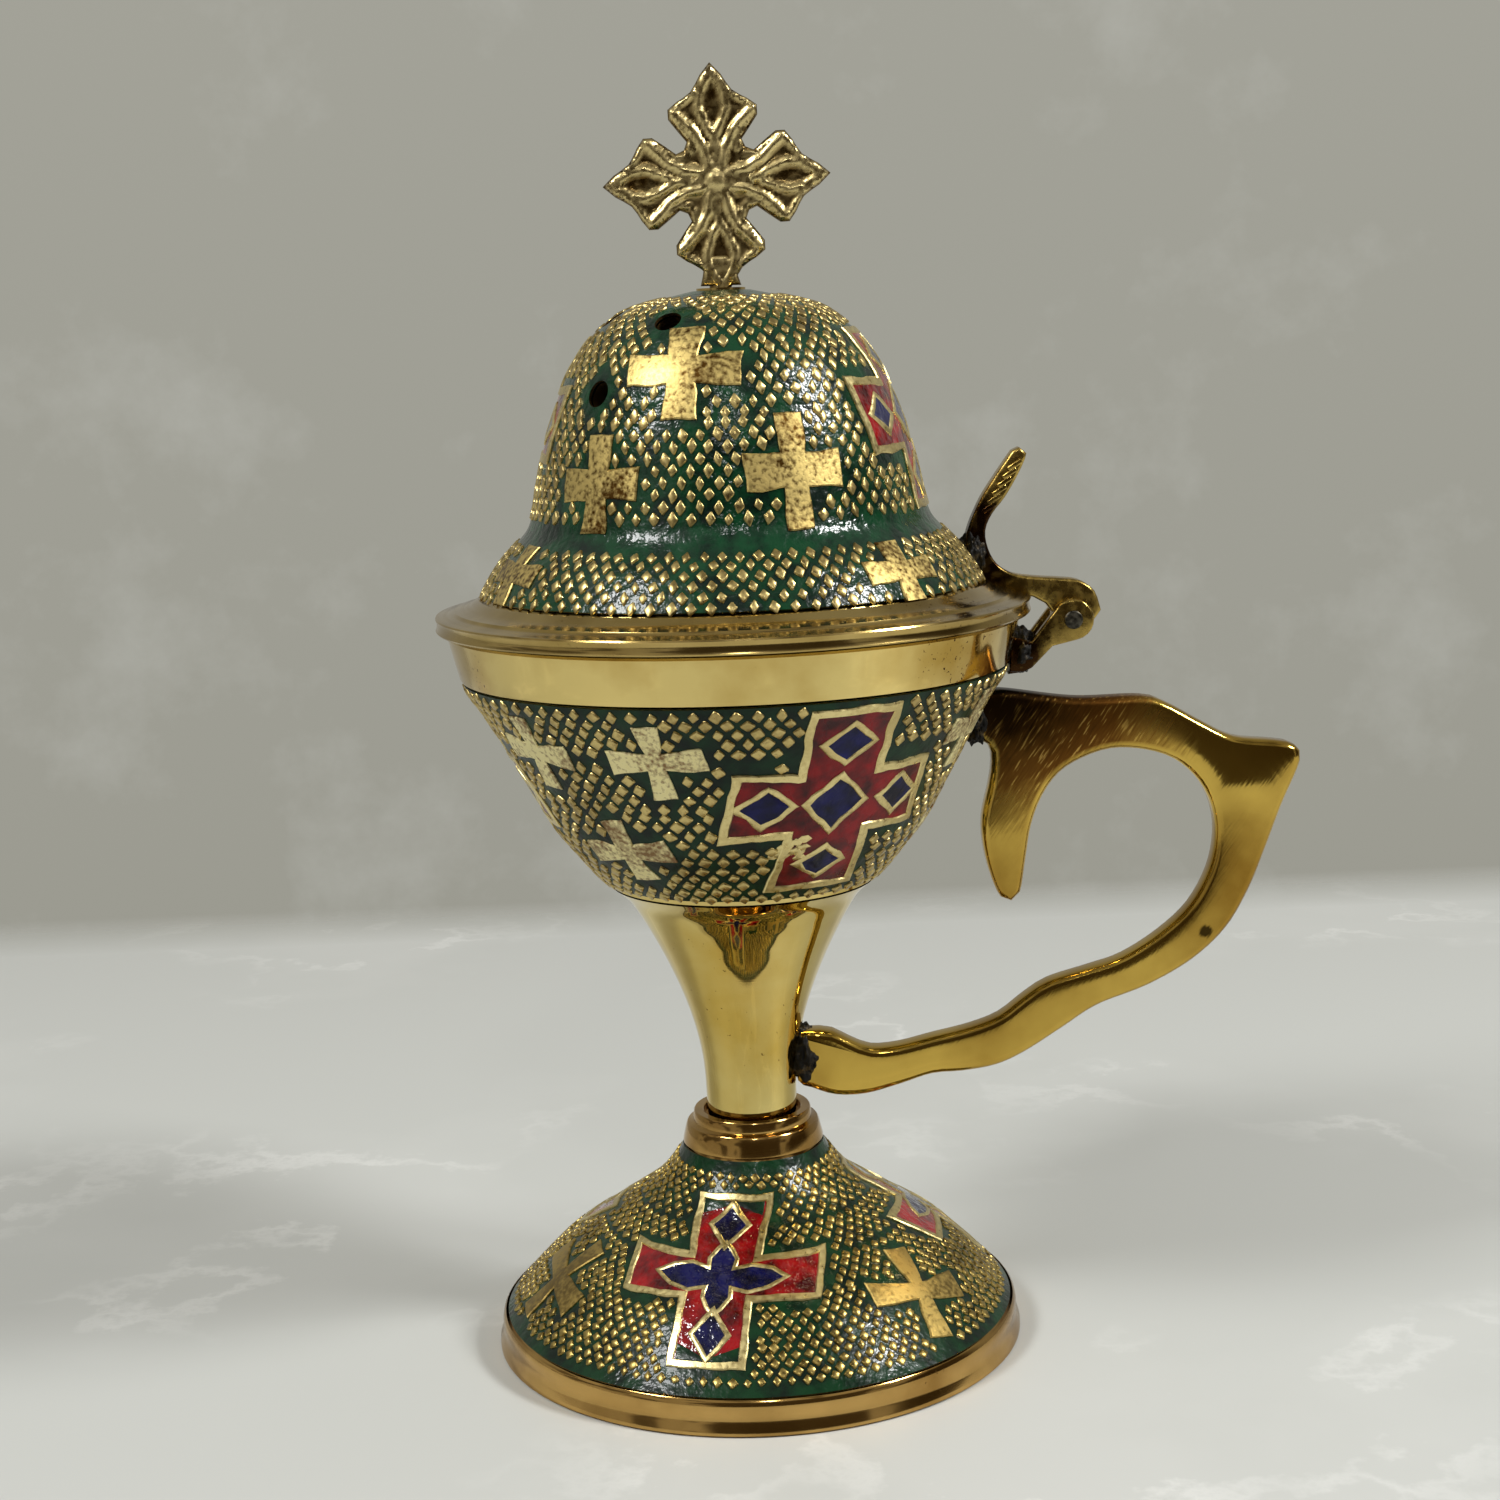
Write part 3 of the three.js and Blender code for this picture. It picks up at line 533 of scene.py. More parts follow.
# Stem: a flaring brass cone between collar and bowl, turned and polished to a mirror. The tie rod that holds
# foot, stem and bowl together runs through it.
stem_brass = turned_brass("stem_brass", "#d9c47c", "#c0a350", 0.03, 0.05, 0.5)
stem_line = smooth([
    (5.88, 30.6), (5.95, 32), (6.0, 34), (6.1, 36), (6.3, 38), (6.64, 40), (7.09, 42), (7.64, 44), (8.29, 46),
    (9.04, 48), (9.87, 50), (10.77, 52), (11.75, 54), (12.79, 56), (13.93, 58), (15.28, 60), (17.2, 61.7),
])
stem_profile = [(2.8, 29.9), (5.88, 29.9), *stem_line, (13.4, 61.7), (2.8, 50)]
new_piece("stem_cone", spun(stem_profile), [stem_brass], "cup", ["stem"])

# Bowl: a turned brass cup with a bare polished band below its rim, darkened by smoke inside. Its green field
# has three red crosses with plain crosses between them, and the enamel is worn dull.
band_brass = turned_brass("band_brass", "#dcc57e", "#b09044", 0.06, 0.35, 1)
bowl_green_enamel = enamel("bowl_green_enamel", "#04160d", "#0a3019", 80, 0.06)
bowl_red_enamel = enamel("bowl_red_enamel", "#390406", "#87090f", 80, 0.1)
bowl_blue_enamel = enamel("bowl_blue_enamel", "#05061c", "#0f1150", 80, 0.06)
# The studs are a mid gold. The crosses are rubbed pale and dull, with brown left in their grain.
stud_brass = cast_brass("stud_brass", "#cbb678", "#6b5228", 0.24, 0.7, 40, 0.5)
bowl_cross_brass = cast_brass("bowl_cross_brass", "#ece2ae", "#6a3a14", 0.48, 0.6, 20, 0.85)


def by_line(line, reach):
    """A test whether a place is near a line's points, both out and up."""
    return lambda radius, height: any(abs(radius - r) < reach and abs(height - z) < reach for r, z in line)


bowl_field = smooth([
    (18.0, 62.3), (19.6, 64), (21.2, 66), (24.3, 70), (26.5, 74), (28.7, 78), (30.8, 82), (33.1, 86),
    (34.5, 88), (35.2, 89.7),
])
band_line = [(35.2, 89.75), (35.35, 90.1), (35.9, 92.3), (36.5, 94.8), (36.65, 95.3), (36.5, 95.6)]
bowl_inside = [point for point in offset(bowl_field + band_line[1:-1], wall) if point[1] > 67.2]
bowl_profile = [
    (2.8, 62), (17.4, 62), *offset(bowl_field, bed), *band_line, (34.3, 95.6), *reversed(bowl_inside),
    (bowl_inside[0][0] - 2.5, 65.5), (2.8, 65.5),
]
by_bowl_inside = by_line(bowl_inside, 0.8)
new_piece(
    "bowl_body", spun(bowl_profile, inner=lambda radius, height: (
        height > 65.2 and (radius < 18 or by_bowl_inside(radius, height))
    )),
    [band_brass, inside_brass], "cup", ["bowl"],
)
new_piece("bowl_field", enamel_ring(bowl_field), [bowl_green_enamel], "cup", ["bowl_enamel"])
bowl_red = cross(27.5, 29.0, 11.6, 10.0, 0.35)
bowl_high = cross(12.4, 11.0, 2.3, 2.6, 0.55)
bowl_low = cross(12.8, 10.2, 2.6, 2.6, 0.6)
bowl_diamonds = [
    (0, 0, 4.7, 4.9), (0, 8.9, 4.3, 3.4), (0, -9.4, 4.0, 3.3), (-8.9, 0, 4.3, 3.4), (9.2, 0, 3.8, 3.4),
]
worn_spots = 14
bowl_motifs = []
bowl_relief = bmesh.new()
for turn in (0, 120, 240):
    middle = turn + 24.5, 76.0
    red_cross(bowl_relief, bowl_motifs, bowl_field, *middle, bowl_red, 0.85, 0.35)
    blue_diamonds(bowl_relief, bowl_field, *middle, bowl_diamonds, 0.5, 0.45, 1.3)
    for _ in range(worn_spots):
        right, higher = random.uniform(-7.5, -2.5), random.uniform(-8.5, -5.0)
        worn = [
            (random.uniform(0.5, 1.3) * math.cos(corner), random.uniform(0.4, 1.0) * math.sin(corner))
            for corner in range(6)
        ]
        raised(bowl_relief, worn, onto(bowl_field, *middle, right, higher, 0.1), waver=0.3)
    plain_crosses(bowl_relief, bowl_motifs, bowl_field, [
        (turn - 18.5, 82.5, bowl_high, 3), (turn + 67.5, 82.5, bowl_high, -3),
        (turn - 35.5, 69.7, bowl_low, 6),
    ], 0.14, 0.35)
new_piece(
    "bowl_relief", bowl_relief, [rim_brass, bowl_cross_brass, bowl_red_enamel, bowl_blue_enamel], "cup",
)
studs("bowl_studs", stud_brass, "cup", bowl_field, bowl_motifs, [
    (1.0, 7.2, 56, 1.4, 21.4), (8.4, 15.6, 64, 1.42, 25.7), (16.8, 24.0, 74, 1.45, 29.8),
    (25.2, 31.6, 86, 1.45, 33.6),
], margin=0.8, width_share=0.33, height_share=0.64, jitter=0.15)

# Lid: a turned brass bell whose moulded flange rests on the band, with six smoke holes drilled through its
# dome. A plain groove parts its green field, which has two red crosses with plain crosses between them.
# A darker copy of the band's brass: painted dark reflection, most of all on the flange.
lid_brass_painted_darker = turned_brass("lid_brass_painted_darker", "#bfa668", "#8c7338", 0.12, 0.3, 2)
lid_green_enamel = enamel("lid_green_enamel", "#041a12", "#0c3c22", 160, 0.22)
# The lid's crosses are gold where rubbed, and brown in specks all over, which makes them look old.
cross_brass = cast_brass("cross_brass", "#cdb672", "#553a16", 0.34, 0.6, 40, 1.0)
dome_field = smooth([
    (32.3, 99.9), (31.0, 102.2), (29.2, 104.7), (26.9, 107.1), (25.75, 108.6), (25.0, 110.9), (24.2, 114.7),
    (22.9, 119.7), (22.0, 122.2), (21.1, 124.7), (20.0, 127.3), (18.5, 129.7), (16.5, 132.2), (13.3, 134.7),
    (10.1, 135.9), (4.8, 137.1), (3.4, 137.4),
])
dome_inside = offset(dome_field, wall)[:-3]
lid_profile = [
    (32.0, 94.1), (33.5, 94.1), (33.5, 95.9), (37.5, 95.9), (37.85, 95.95), (38.0, 96.15), (37.85, 96.5),
    (37.8, 97.0), (37.9, 97.45), (38.0, 97.6), (37.9, 97.8), (37.5, 97.9), (35.9, 98.1), (35.7, 98.2),
    (35.5, 98.5), (34.4, 98.7), (33.4, 99.1), (32.7, 99.65), (32.4, 99.8), *offset(dome_field, bed)[:-1],
    (3.1, 136.9), (3.1, 137.5), (1.7, 137.5), (1.7, 135.2), *reversed(dome_inside),
    (32.0, dome_inside[0][1] - 1.7),
]
by_dome_inside = by_line(dome_inside, 0.9)
lid_body = new_piece(
    "lid_body", spun(lid_profile, inner=lambda radius, height: (
        height < 95.8 or (96.5 < height < 98 and radius < 31.4) or by_dome_inside(radius, height)
    )),
    [lid_brass_painted_darker, inside_brass], "cover", ["lid"],
)
lid_field = new_piece(
    "lid_field", enamel_ring(dome_field), [lid_green_enamel, inside_brass], "cover",
    ["lid_enamel"],
)
smoke_holes = [(degrees + turn, height) for turn in (0, 180) for degrees, height in (
    (-79.9, 134.3), (-26.5, 133.7), (-47.5, 125.3),
)]
hole_radius, hole_above, hole_below = 1.7, 3, 5
drills = bmesh.new()
for degrees, height in smoke_holes:
    place = onto(dome_field, degrees, height)
    outer, inner = place(0, 0, hole_above), place(0, 0, -hole_below)
    facing = (outer - inner).to_track_quat("Z", "Y").to_matrix().to_4x4()
    bmesh.ops.create_cone(
        drills, cap_ends=True, segments=28, radius1=hole_radius, radius2=hole_radius,
        depth=hole_above + hole_below, matrix=Matrix.Translation((outer + inner) / 2) @ facing,
    )
drills.transform(to_metres)
# The walls of the holes take the pieces' second material, the darkened brass.
for face in drills.faces:
    face.material_index = 1
drill_object = new_object("drills", drills, [lid_brass_painted_darker, inside_brass])
for piece in (lid_body, lid_field):
    holes = piece.modifiers.new("holes", "BOOLEAN")
    holes.object = drill_object
    holes.solver = "EXACT"
    bpy.context.view_layer.update()
    drilled = bpy.data.meshes.new_from_object(piece.evaluated_get(bpy.context.evaluated_depsgraph_get()))
    piece.modifiers.clear()
    piece.data = drilled
    drilled.set_sharp_from_angle(angle=math.radians(32))
bpy.data.objects.remove(drill_object)

dome_top = cross(14.5, 12.6, 4.0, 4.0, 0.25)
dome_left = cross(12.0, 12.0, 3.3, 3.6, 0.3)
dome_right = cross(12.3, 14.2, 3.2, 4.2, 0.3)
skirt_plain = cross(11.3, 8.8, 3.0, 2.8, 0.3)
dome_red = cross(25.0, 24.5, 10.0, 9.6, 0.3)
dome_diamonds = [
    (0, 0, 4.1, 4.3), (0, 7.8, 3.4, 3.0), (0, -7.8, 3.4, 3.0), (-7.5, 0, 3.4, 3.0), (7.5, 0, 3.4, 3.0),
]
dome_motifs = []
dome_relief = bmesh.new()
for turn in (0, 180):
    plain_crosses(dome_relief, dome_motifs, dome_field, [
        (turn - 14.8, 127.9, dome_top, 0), (turn - 40.6, 114.6, dome_left, 2),
        (turn + 19.5, 115.7, dome_right, 0), (turn + 42.5, 103.4, skirt_plain, 0),
        (turn - 63.3, 103.9, skirt_plain, 0),
    ], 0.12, 0.3)
    middle = turn + 79, 121.5
    red_cross(dome_relief, dome_motifs, dome_field, *middle, dome_red, 0.8, 0.3)
    blue_diamonds(dome_relief, dome_field, *middle, dome_diamonds, 0.5, 0.35, 1.3)
new_piece(
    "dome_relief", dome_relief, [rim_brass, cross_brass, red_enamel, blue_enamel], "cover",
)
# This far from the middle of a hole, in mm, the enamel is bare of studs.
bare = 2.5
turns = [i * math.tau / 20 for i in range(20)]
hole_ring = [(bare * math.cos(turn), bare * math.sin(turn)) for turn in turns]
dome_motifs += [(degrees, height, hole_ring, 0) for degrees, height in smoke_holes]
groove_low, groove_high = way_up(dome_field, 107.0), way_up(dome_field, 109.6)
studs("dome_studs", stud_brass, "cover", dome_field, dome_motifs, [
    (0.9, groove_low - 0.6, 82, 1.4, 29.8), (groove_high + 0.9, groove_high + 12.6, 68, 1.45, 24.0),
    (groove_high + 13.6, groove_high + 22.2, 60, 1.42, 21.2),
    (groove_high + 23.2, groove_high + 28.9, 46, 1.4, 16.0),
    (groove_high + 29.9, groove_high + 34.6, 30, 1.35, 10.0),
], margin=0.7, width_share=0.28, height_share=0.68, jitter=0.16)


# Handle: one flat brass casting with rounded edges, a loop for a finger and a hook under the bowl, filed and
# polished by hand and soldered to bowl and stem. Its outline is [out from the axis, height] in mm.
root, nick = (axis + 0.0315, 0.0, 0.0835), (axis + 0.0602, -0.002, 0.0525)
# Its yellow brass: slanted scratches, drawn 0.3 mm wide so that they show, dim the mirror. Towards the root
# it darkens nearly to black and, where the piece's own attribute marks it, is burnt brown; that brown, drawn
# out along the top, is partly a painted dark reflection. A dark nick ages it.
handle_brass, tree, shader, where = new_material("handle_brass", Metallic=1.0)
slant = {0: where, "Rotation": (0.0, 0.6, 0.0), "Scale": (1.0, 1.0, 9.0)}
slanted = add_node(tree, "Mapping", slant, vector_type="TEXTURE")[0]
scratches = spots(tree, slanted, 0.33, 2.0)
clouds = spots(tree, where, 22.0, 5.0)
tarnish = add_node(tree, "MapRange", {0: clouds, 1: 0.42, 2: 0.66})[0]
base = mixed(tree, tarnish, "#cfae52", "#94702a")
from_root = add_node(tree, "VectorMath", {0: where, 1: root}, operation="SUBTRACT")[0]
from_root = add_node(tree, "VectorMath", {0: from_root, 1: (0.55, 1.0, 1.0)}, operation="MULTIPLY")[0]
reach = add_node(tree, "VectorMath", {0: from_root}, operation="LENGTH")["Value"]
reach = add_node(tree, "Math", {0: scratches, 1: 0.008, 2: reach}, operation="MULTIPLY_ADD")[0]
marked = add_node(tree, "Attribute", {}, attribute_name="dirt_and_shade")["Fac"]
# Burnt brown near the root; drawn out along the top of the plate it is a painted dark reflection.
burnt_and_painted_reflection = add_node(tree, "MapRange", {0: reach, 1: 0.014, 2: 0.0215, 3: 1.0, 4: 0.0})[0]
burnt_and_painted_reflection = add_node(tree, "Math", {0: burnt_and_painted_reflection, 1: marked}, operation="MULTIPLY")[0]
bare = add_node(tree, "MapRange", {0: scratches, 1: 0.6, 2: 0.68})[0]
brown = mixed(tree, bare, "#75471a", "#d2a95a")
base = mixed(tree, burnt_and_painted_reflection, base, brown)
# Darker towards the root, nearly black, with the nick added below.
near_black = add_node(tree, "MapRange", {0: reach, 1: 0.0075, 2: 0.0155, 3: 0.95, 4: 0.0})[0]
nicked = add_node(tree, "VectorMath", {0: where, 1: nick}, operation="DISTANCE")["Value"]
nicked = add_node(tree, "Math", {0: scratches, 1: 0.0012, 2: nicked}, operation="MULTIPLY_ADD")[0]
nicked = add_node(tree, "MapRange", {0: nicked, 1: 0.0012, 2: 0.0016, 3: 0.9, 4: 0.0})[0]
near_black = add_node(tree, "Math", {0: near_black, 1: nicked}, operation="MAXIMUM")[0]
base = mixed(tree, near_black, base, "#1c1208")
rough = add_node(tree, "MapRange", {0: clouds, 1: 0.35, 2: 0.7, 3: 0.06, 4: 0.18})[0]
rough = add_node(tree, "Math", {0: burnt_and_painted_reflection, 1: 0.28, 2: rough}, operation="MULTIPLY_ADD")[0]
connect(tree, shader, base, rough, scratches, 6)


def slab(line, thickness, round_off, segments=3):
    """A plate in the X-Z plane, centred on Y, with all its edges rounded."""
    bm = bmesh.new()
    front = bm.faces.new([bm.verts.new((x, -thickness / 2, z)) for x, z in line])
    rim = front.edges[:]
    back = bmesh.ops.extrude_face_region(bm, geom=[front])["geom"]
    back_verts = [vert for vert in back if isinstance(vert, bmesh.types.BMVert)]
    bmesh.ops.translate(bm, vec=(0, thickness, 0), verts=back_verts)
    rim += [edge for edge in back if isinstance(edge, bmesh.types.BMEdge)]
    bmesh.ops.bevel(
        bm, geom=list(set(rim)), offset=round_off, segments=segments, profile=0.5, affect="EDGES",
        material=-1,
    )
    bmesh.ops.triangulate(bm, faces=[face for face in bm.faces if len(face.verts) > 4])
    return bm


def mark_dirt_and_shade(piece, measure):
    """Marks dirt and painted shade on each point by a measure of its mm out from the axis, off the middle and
    up.
    """
    marks = piece.data.attributes.new("dirt_and_shade", "FLOAT", "POINT")
    for vert, mark in zip(piece.data.vertices, marks.data):
        place = (vert.co.x - axis) * 1000, abs(vert.co.y) * 1000, vert.co.z * 1000
        mark.value = min(max(measure(*place), 0.0), 0.9)


handle_line = [
    *smooth([
        (31.3, 84.9), (34, 85.4), (43.5, 84.0), (52.1, 83.9), (55.5, 82.8), (59.8, 80.3), (64.1, 78.1),
        (69.4, 77.4), (72.0, 76.7), (72.7, 74.6), (70.3, 68.9), (68.2, 63.3), (66.0, 57.9), (63.0, 52.8),
        (58.6, 48.7), (52.7, 45.4), (45.9, 42.9), (41.4, 40.1), (36.4, 37.0), (32.5, 35.3), (28.0, 34.6),
        (24.0, 34.4), (19.6, 33.1), (15.2, 32.0), (11.2, 32.0), (8.0, 33.1), (6.2, 34.1), (6.1, 38.0),
        (6.6, 41.0),
    ], 1.2),
    *smooth([
        (9.3, 41.0), (11.0, 40.7), (13.4, 39.4), (16.1, 38.3), (19.8, 38.5), (24.2, 39.5), (29.2, 40.6),
        (33.0, 42.0), (36.1, 44.3), (39.5, 46.4), (45.0, 48.0), (49.4, 49.4), (54.3, 52.4), (58.2, 56.0),
        (60.7, 60.6), (61.6, 65.1), (61.2, 69.0), (59.5, 72.5), (56.4, 75.4), (52.5, 76.8), (48.2, 77.1),
        (44.4, 76.0), (41.4, 74.2), (39.2, 71.3), (37.7, 67.5), (36.9, 63.1), (36.1, 58.6), (34.9, 57.4),
        (33.5, 58.0), (32.3, 60.8), (31.4, 64.8), (31.3, 68.7), (32.3, 73.1), (32.7, 76.0), (32.2, 78.3),
        (29.6, 79.6),
    ], 1.2),
]
handle_plate = new_piece(
    "handle_plate", slab(handle_line, 4.0, 1.1, 4), [handle_brass], "cup", ["handle"],
    sharp=50,
)
# Marks the broad faces and the top edge near the root for the brown, which there is partly a painted dark
# reflection.
mark_dirt_and_shade(handle_plate, lambda out, off, up: off > 1.95 or (up > 82.5 and out < 54))

# Solder: four rough fillets, blackened by flux, which hold the handle, the bracket and the lid's arm to the
# turned pieces. The tops of their lumps are painted lighter, grey specks and a painted highlight in one,
# which keeps the black from looking flat.
solder, tree, shader, where = new_material("solder", Metallic=0.55)
lumps = spots(tree, where, 1.1, 6.0)
# Grey specks and a painted highlight on the lumps' tops.
grey_and_highlight = add_node(tree, "MapRange", {0: lumps, 1: 0.52, 2: 0.7})[0]
base = mixed(tree, grey_and_highlight, "#0f0d0a", "#574a33")
rough = add_node(tree, "MapRange", {0: lumps, 1: 0.3, 2: 0.7, 3: 0.75, 4: 0.4})[0]
connect(tree, shader, base, rough, lumps, 250)


def fillet(name, node, body, middle, size):
    """A lumpy bead round a middle [out from the axis, height] in mm, with half sizes out, across and up."""
    bm = bmesh.new()
    bmesh.ops.create_icosphere(bm, subdivisions=5, radius=1.0)
    for vert in bm.verts:
        shift = Vector((middle[0], 0, middle[1]))
        lump = 1 + 0.3 * noise.noise(vert.co * 2.0 + shift) + 0.14 * noise.noise(vert.co * 6 + shift)
        vert.co = shift + Vector(a * b for a, b in zip(vert.co * lump, size))
    new_piece(name, bm, [solder], body, [node], sharp=80)


fillet("upper_fillet", "handle_upper_solder", "cup", (30.8, 81.4), (1.5, 3.2, 3.4))
fillet("lower_fillet", "handle_lower_solder", "cup", (7.3, 37.4), (1.9, 2.8, 3.9))
fillet("bracket_fillet", "bracket_solder", "cup", (36.8, 90.4), (2.1, 3.8, 2.6))
fillet("arm_fillet", "lid_arm_solder", "cover", (30.9, 102.5), (1.7, 2.6, 3.6))

# Hinge: a brass bracket cast with two ears, the steel pin that is pushed through them, and the lid's arm, one
# casting with a knuckle on the pin and a thumb lever, which has ribs for grip.
hinge_brass = cast_brass("hinge_brass", "#b89c52", "#33200f", 0.16, 1.1, 40, 0.4)
# Dull steel, dark in spots, with no clear reflection, for the pin, the rod, the washer and the nuts.
dull_steel, tree, shader, where = new_material("dull_steel", Metallic=1.0)
grain = spots(tree, where, 0.6, 4.0)
worn = add_node(tree, "MapRange", {0: grain, 1: 0.35, 2: 0.7})[0]
base = mixed(tree, worn, "#24221e", "#6b675c")
rough = add_node(tree, "MapRange", {0: grain, 1: 0.3, 2: 0.7, 3: 0.3, 4: 0.5})[0]
connect(tree, shader, base, rough, grain, 30)

pin_low, pin_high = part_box("hinge_pin")
pin_x = ((pin_low.x + pin_high.x) / 2 - axis) * 1000
pin_z = (pin_low.z + pin_high.z) * 500
pin_radius, pin_length, knuckle_radius = 1.22, 6.9, 2.65


def from_pin(points):
    """The points, given from the pin, as places."""
    return [(pin_x + x, pin_z + z) for x, z in points]


def arc(radius, start, end, count=14):
    """Points round the pin from one angle to another, in degrees."""
    angles = [math.radians(start + (end - start) * i / count) for i in range(count + 1)]
    return from_pin([(radius * math.cos(angle), radius * math.sin(angle)) for angle in angles])


ear_line = [
    (35.0, 87.9), (36.8, 87.8), (37.9, 88.3), (40.6, 91.0), *arc(knuckle_radius, -80, 150), (37.9, 91.7),
    (36.4, 92.2), (35.4, 92.2),
]
bracket = bmesh.new()
for side in (-1, 1):
    ear = slab(ear_line, 1.6, 0.3, 2)
    bmesh.ops.translate(ear, vec=(0, side * 2.5, 0), verts=ear.verts)
    add_part(bracket, ear)
add_part(bracket, slab([(35.0, 87.4), (36.9, 87.6), (38.2, 89.2), (37.2, 91.2), (36.0, 92.0)], 4.0, 0.3, 2))
hinge_fork = new_piece("hinge_fork", bracket, [hinge_brass], "cup", ["hinge_bracket"], sharp=45)
# Darker on the ears' outer and inner faces, and darker towards the root.
mark_dirt_and_shade(hinge_fork, lambda out, off, up: 0.5 * (off > 3.25 or off < 1.75) + (39.6 - out) / 3.0)
pin = bmesh.new()
bmesh.ops.create_cone(
    pin, cap_ends=True, segments=32, radius1=pin_radius, radius2=pin_radius, depth=pin_length,
    matrix=Matrix.Translation((pin_x, 0, pin_z)) @ Matrix.Rotation(math.radians(90), 4, "X"),
)
pin_rims = [edge for edge in pin.edges if abs(edge.verts[0].co.y - edge.verts[1].co.y) < 1]
bmesh.ops.bevel(pin, geom=pin_rims, offset=0.25, segments=3, profile=0.5, affect="EDGES", material=-1)
new_piece("pin_round", pin, [dull_steel], "cup", ["hinge_pin"])
arm_line = smooth(from_pin([
    (-6.3, 22.0), (-5.4, 21.2), (-6.4, 18.8), (-8.2, 15.8), (-9.9, 13.7), (-10.8, 11.6), (-10.5, 9.3),
    (-9.4, 7.3), (-7.4, 6.0), (-4.8, 5.5), (-1.5, 5.2), (1.1, 4.8), (3.0, 3.4), (3.8, 0.9),
]), 0.9)
arm_line += arc(knuckle_radius, -20, -200)
arm_line += from_pin([(-3.3, 2.0), (-4.9, 2.9), (-9.7, 3.9), (-13.0, 5.6), (-13.6, 8.0), (-13.2, 11.4)])
arm_line += smooth(from_pin([(-13.0, 12.0), (-12.5, 13.3), (-11.2, 15.9), (-9.1, 19.0), (-7.2, 21.6)]), 0.9)
arm = slab(arm_line, 3.0, 0.4)
rib_size = Matrix.Diagonal((2.1, 3.8, 0.65, 1))
for i in range(6):
    share = 0.3 + 0.12 * i
    x, z = pin_x - 12.0 + 5.6 * share, pin_z + 11.9 + 8.8 * share
    turned = Matrix.Translation((x, 0, z)) @ Matrix.Rotation(math.radians(-33), 4, "Y")
    rib = bmesh.new()
    bmesh.ops.create_cube(rib, size=1.0, matrix=turned @ rib_size)
    bmesh.ops.bevel(rib, geom=rib.edges[:], offset=0.15, segments=2, profile=0.5, affect="EDGES", material=-1)
    add_part(arm, rib)
thumb_arm = new_piece("thumb_arm", arm, [hinge_brass], "cover", ["lid_arm"], sharp=45)
# Darker a little on its broad faces, and darker round its root by the solder.
mark_dirt_and_shade(thumb_arm, lambda out, off, up: 0.2 * (off > 1.45) + (7.0 - math.hypot(out - 31.0, up - 104.0)) / 3.6)

# Finial: a cast brass cross on a short neck, whose tang is held by a nut under the dome. Its arms end in
# fleurs, and both faces have a raised rim and leaves with ridges, with painted shade in the hollows.
finial_brass = cast_brass("finial_brass", "#d9c58b", "#5f4822", 0.2, 0.8, 40, 0.2)
finial_reach, finial_half_thick = 14.2, 0.95
finial_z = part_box("finial_cross")[1].z * 1000 - finial_reach
half_arm = [
    (1, 0), (0.9, 0.09), (0.76, 0.18), (0.68, 0.31), (0.62, 0.39), (0.54, 0.39), (0.43, 0.31), (0.34, 0.24),
]
finial_outline = []
for quarter in range(4):
    turning = Matrix.Rotation(quarter * math.pi / 2, 2)
    for point in [*half_arm, (0.27, 0.27), *((b, a) for a, b in reversed(half_arm[1:]))]:
        finial_outline.append(tuple(turning @ Vector(point) * finial_reach))
finial_outline = smooth([*finial_outline, finial_outline[0]], 1.4)[:-1]
finial_lean = Matrix.Rotation(math.radians(-1.5), 3, "Y")
# The ridges on one half of an arm: each a line [out, off the arm's middle], half width and height, in mm.
finial_ridges = [
    ([(1.2, 0), (5.2, 0)], 0.6, 0.5), ([(5.0, 0), (6.8, 1.0), (9.0, 1.8), (11.0, 1.3), (13.0, 0)], 0.65, 0.5),
    ([(1.6, 0.8), (4.0, 1.4), (6.0, 2.5), (7.4, 3.9), (8.3, 4.9)], 0.8, 0.65),
    ([(13.7, 0), (12.4, 1.0), (10.4, 2.3), (9.3, 4.1), (8.6, 5.0)], 0.6, 0.4),
    ([(8.6, 5.0), (7.8, 5.1), (6.3, 4.1), (5.1, 3.1), (3.7, 2.9)], 0.6, 0.3),
]


def finial_place(side):
    """A function that puts a flat shape on one face of the finial, with ridges along each arm."""
    def place(across, up, proud):
        out, off = max(abs(across), abs(up)), min(abs(across), abs(up))
        relief = max(0.0, 0.95 - 0.25 * (out ** 2 + off ** 2))
        for line, wide, tall in finial_ridges:
            for start, end in zip(line, line[1:]):
                relief = max(relief, tall * (1 - (off_segment(out, off, start, end) / wide) ** 2))
        relief += 0.16 * noise.noise(Vector((across * 0.9, up * 0.9, side * 5)))
        proud += relief * (proud > 0.15)
        point = Vector((across * side, -side * (finial_half_thick + proud), up))
        return finial_lean @ point + Vector((0, 0, finial_z))
    return place


finial = slab(finial_outline, 2.0, 0.25, 1)
bmesh.ops.rotate(finial, matrix=finial_lean, verts=finial.verts)
bmesh.ops.translate(finial, vec=(0, 0, finial_z), verts=finial.verts)
for side in (1, -1):
    raised(finial, finial_outline, finial_place(side), rise=0.2, waver=0.0, cell=0.42, slope=0.3)
add_part(finial, slab([
    (-2.5, 137.8), (2.6, 137.8), (2.2, 139.0), (1.9, 140.8), (0.9, 141.6), (-0.9, 141.6), (-1.9, 140.8),
    (-2.2, 139.0),
], 2.9, 0.6))
tang_radius, tang_length, tang_middle = 1.4, 8.0, 135.1
bmesh.ops.create_cone(
    finial, cap_ends=True, segments=24, radius1=tang_radius, radius2=tang_radius, depth=tang_length,
    matrix=Matrix.Translation((0, 0, tang_middle)),
)
finial_piece = new_piece(
    "finial_relief", finial, [finial_brass], "cover", ["finial_cross"], sharp=60,
)
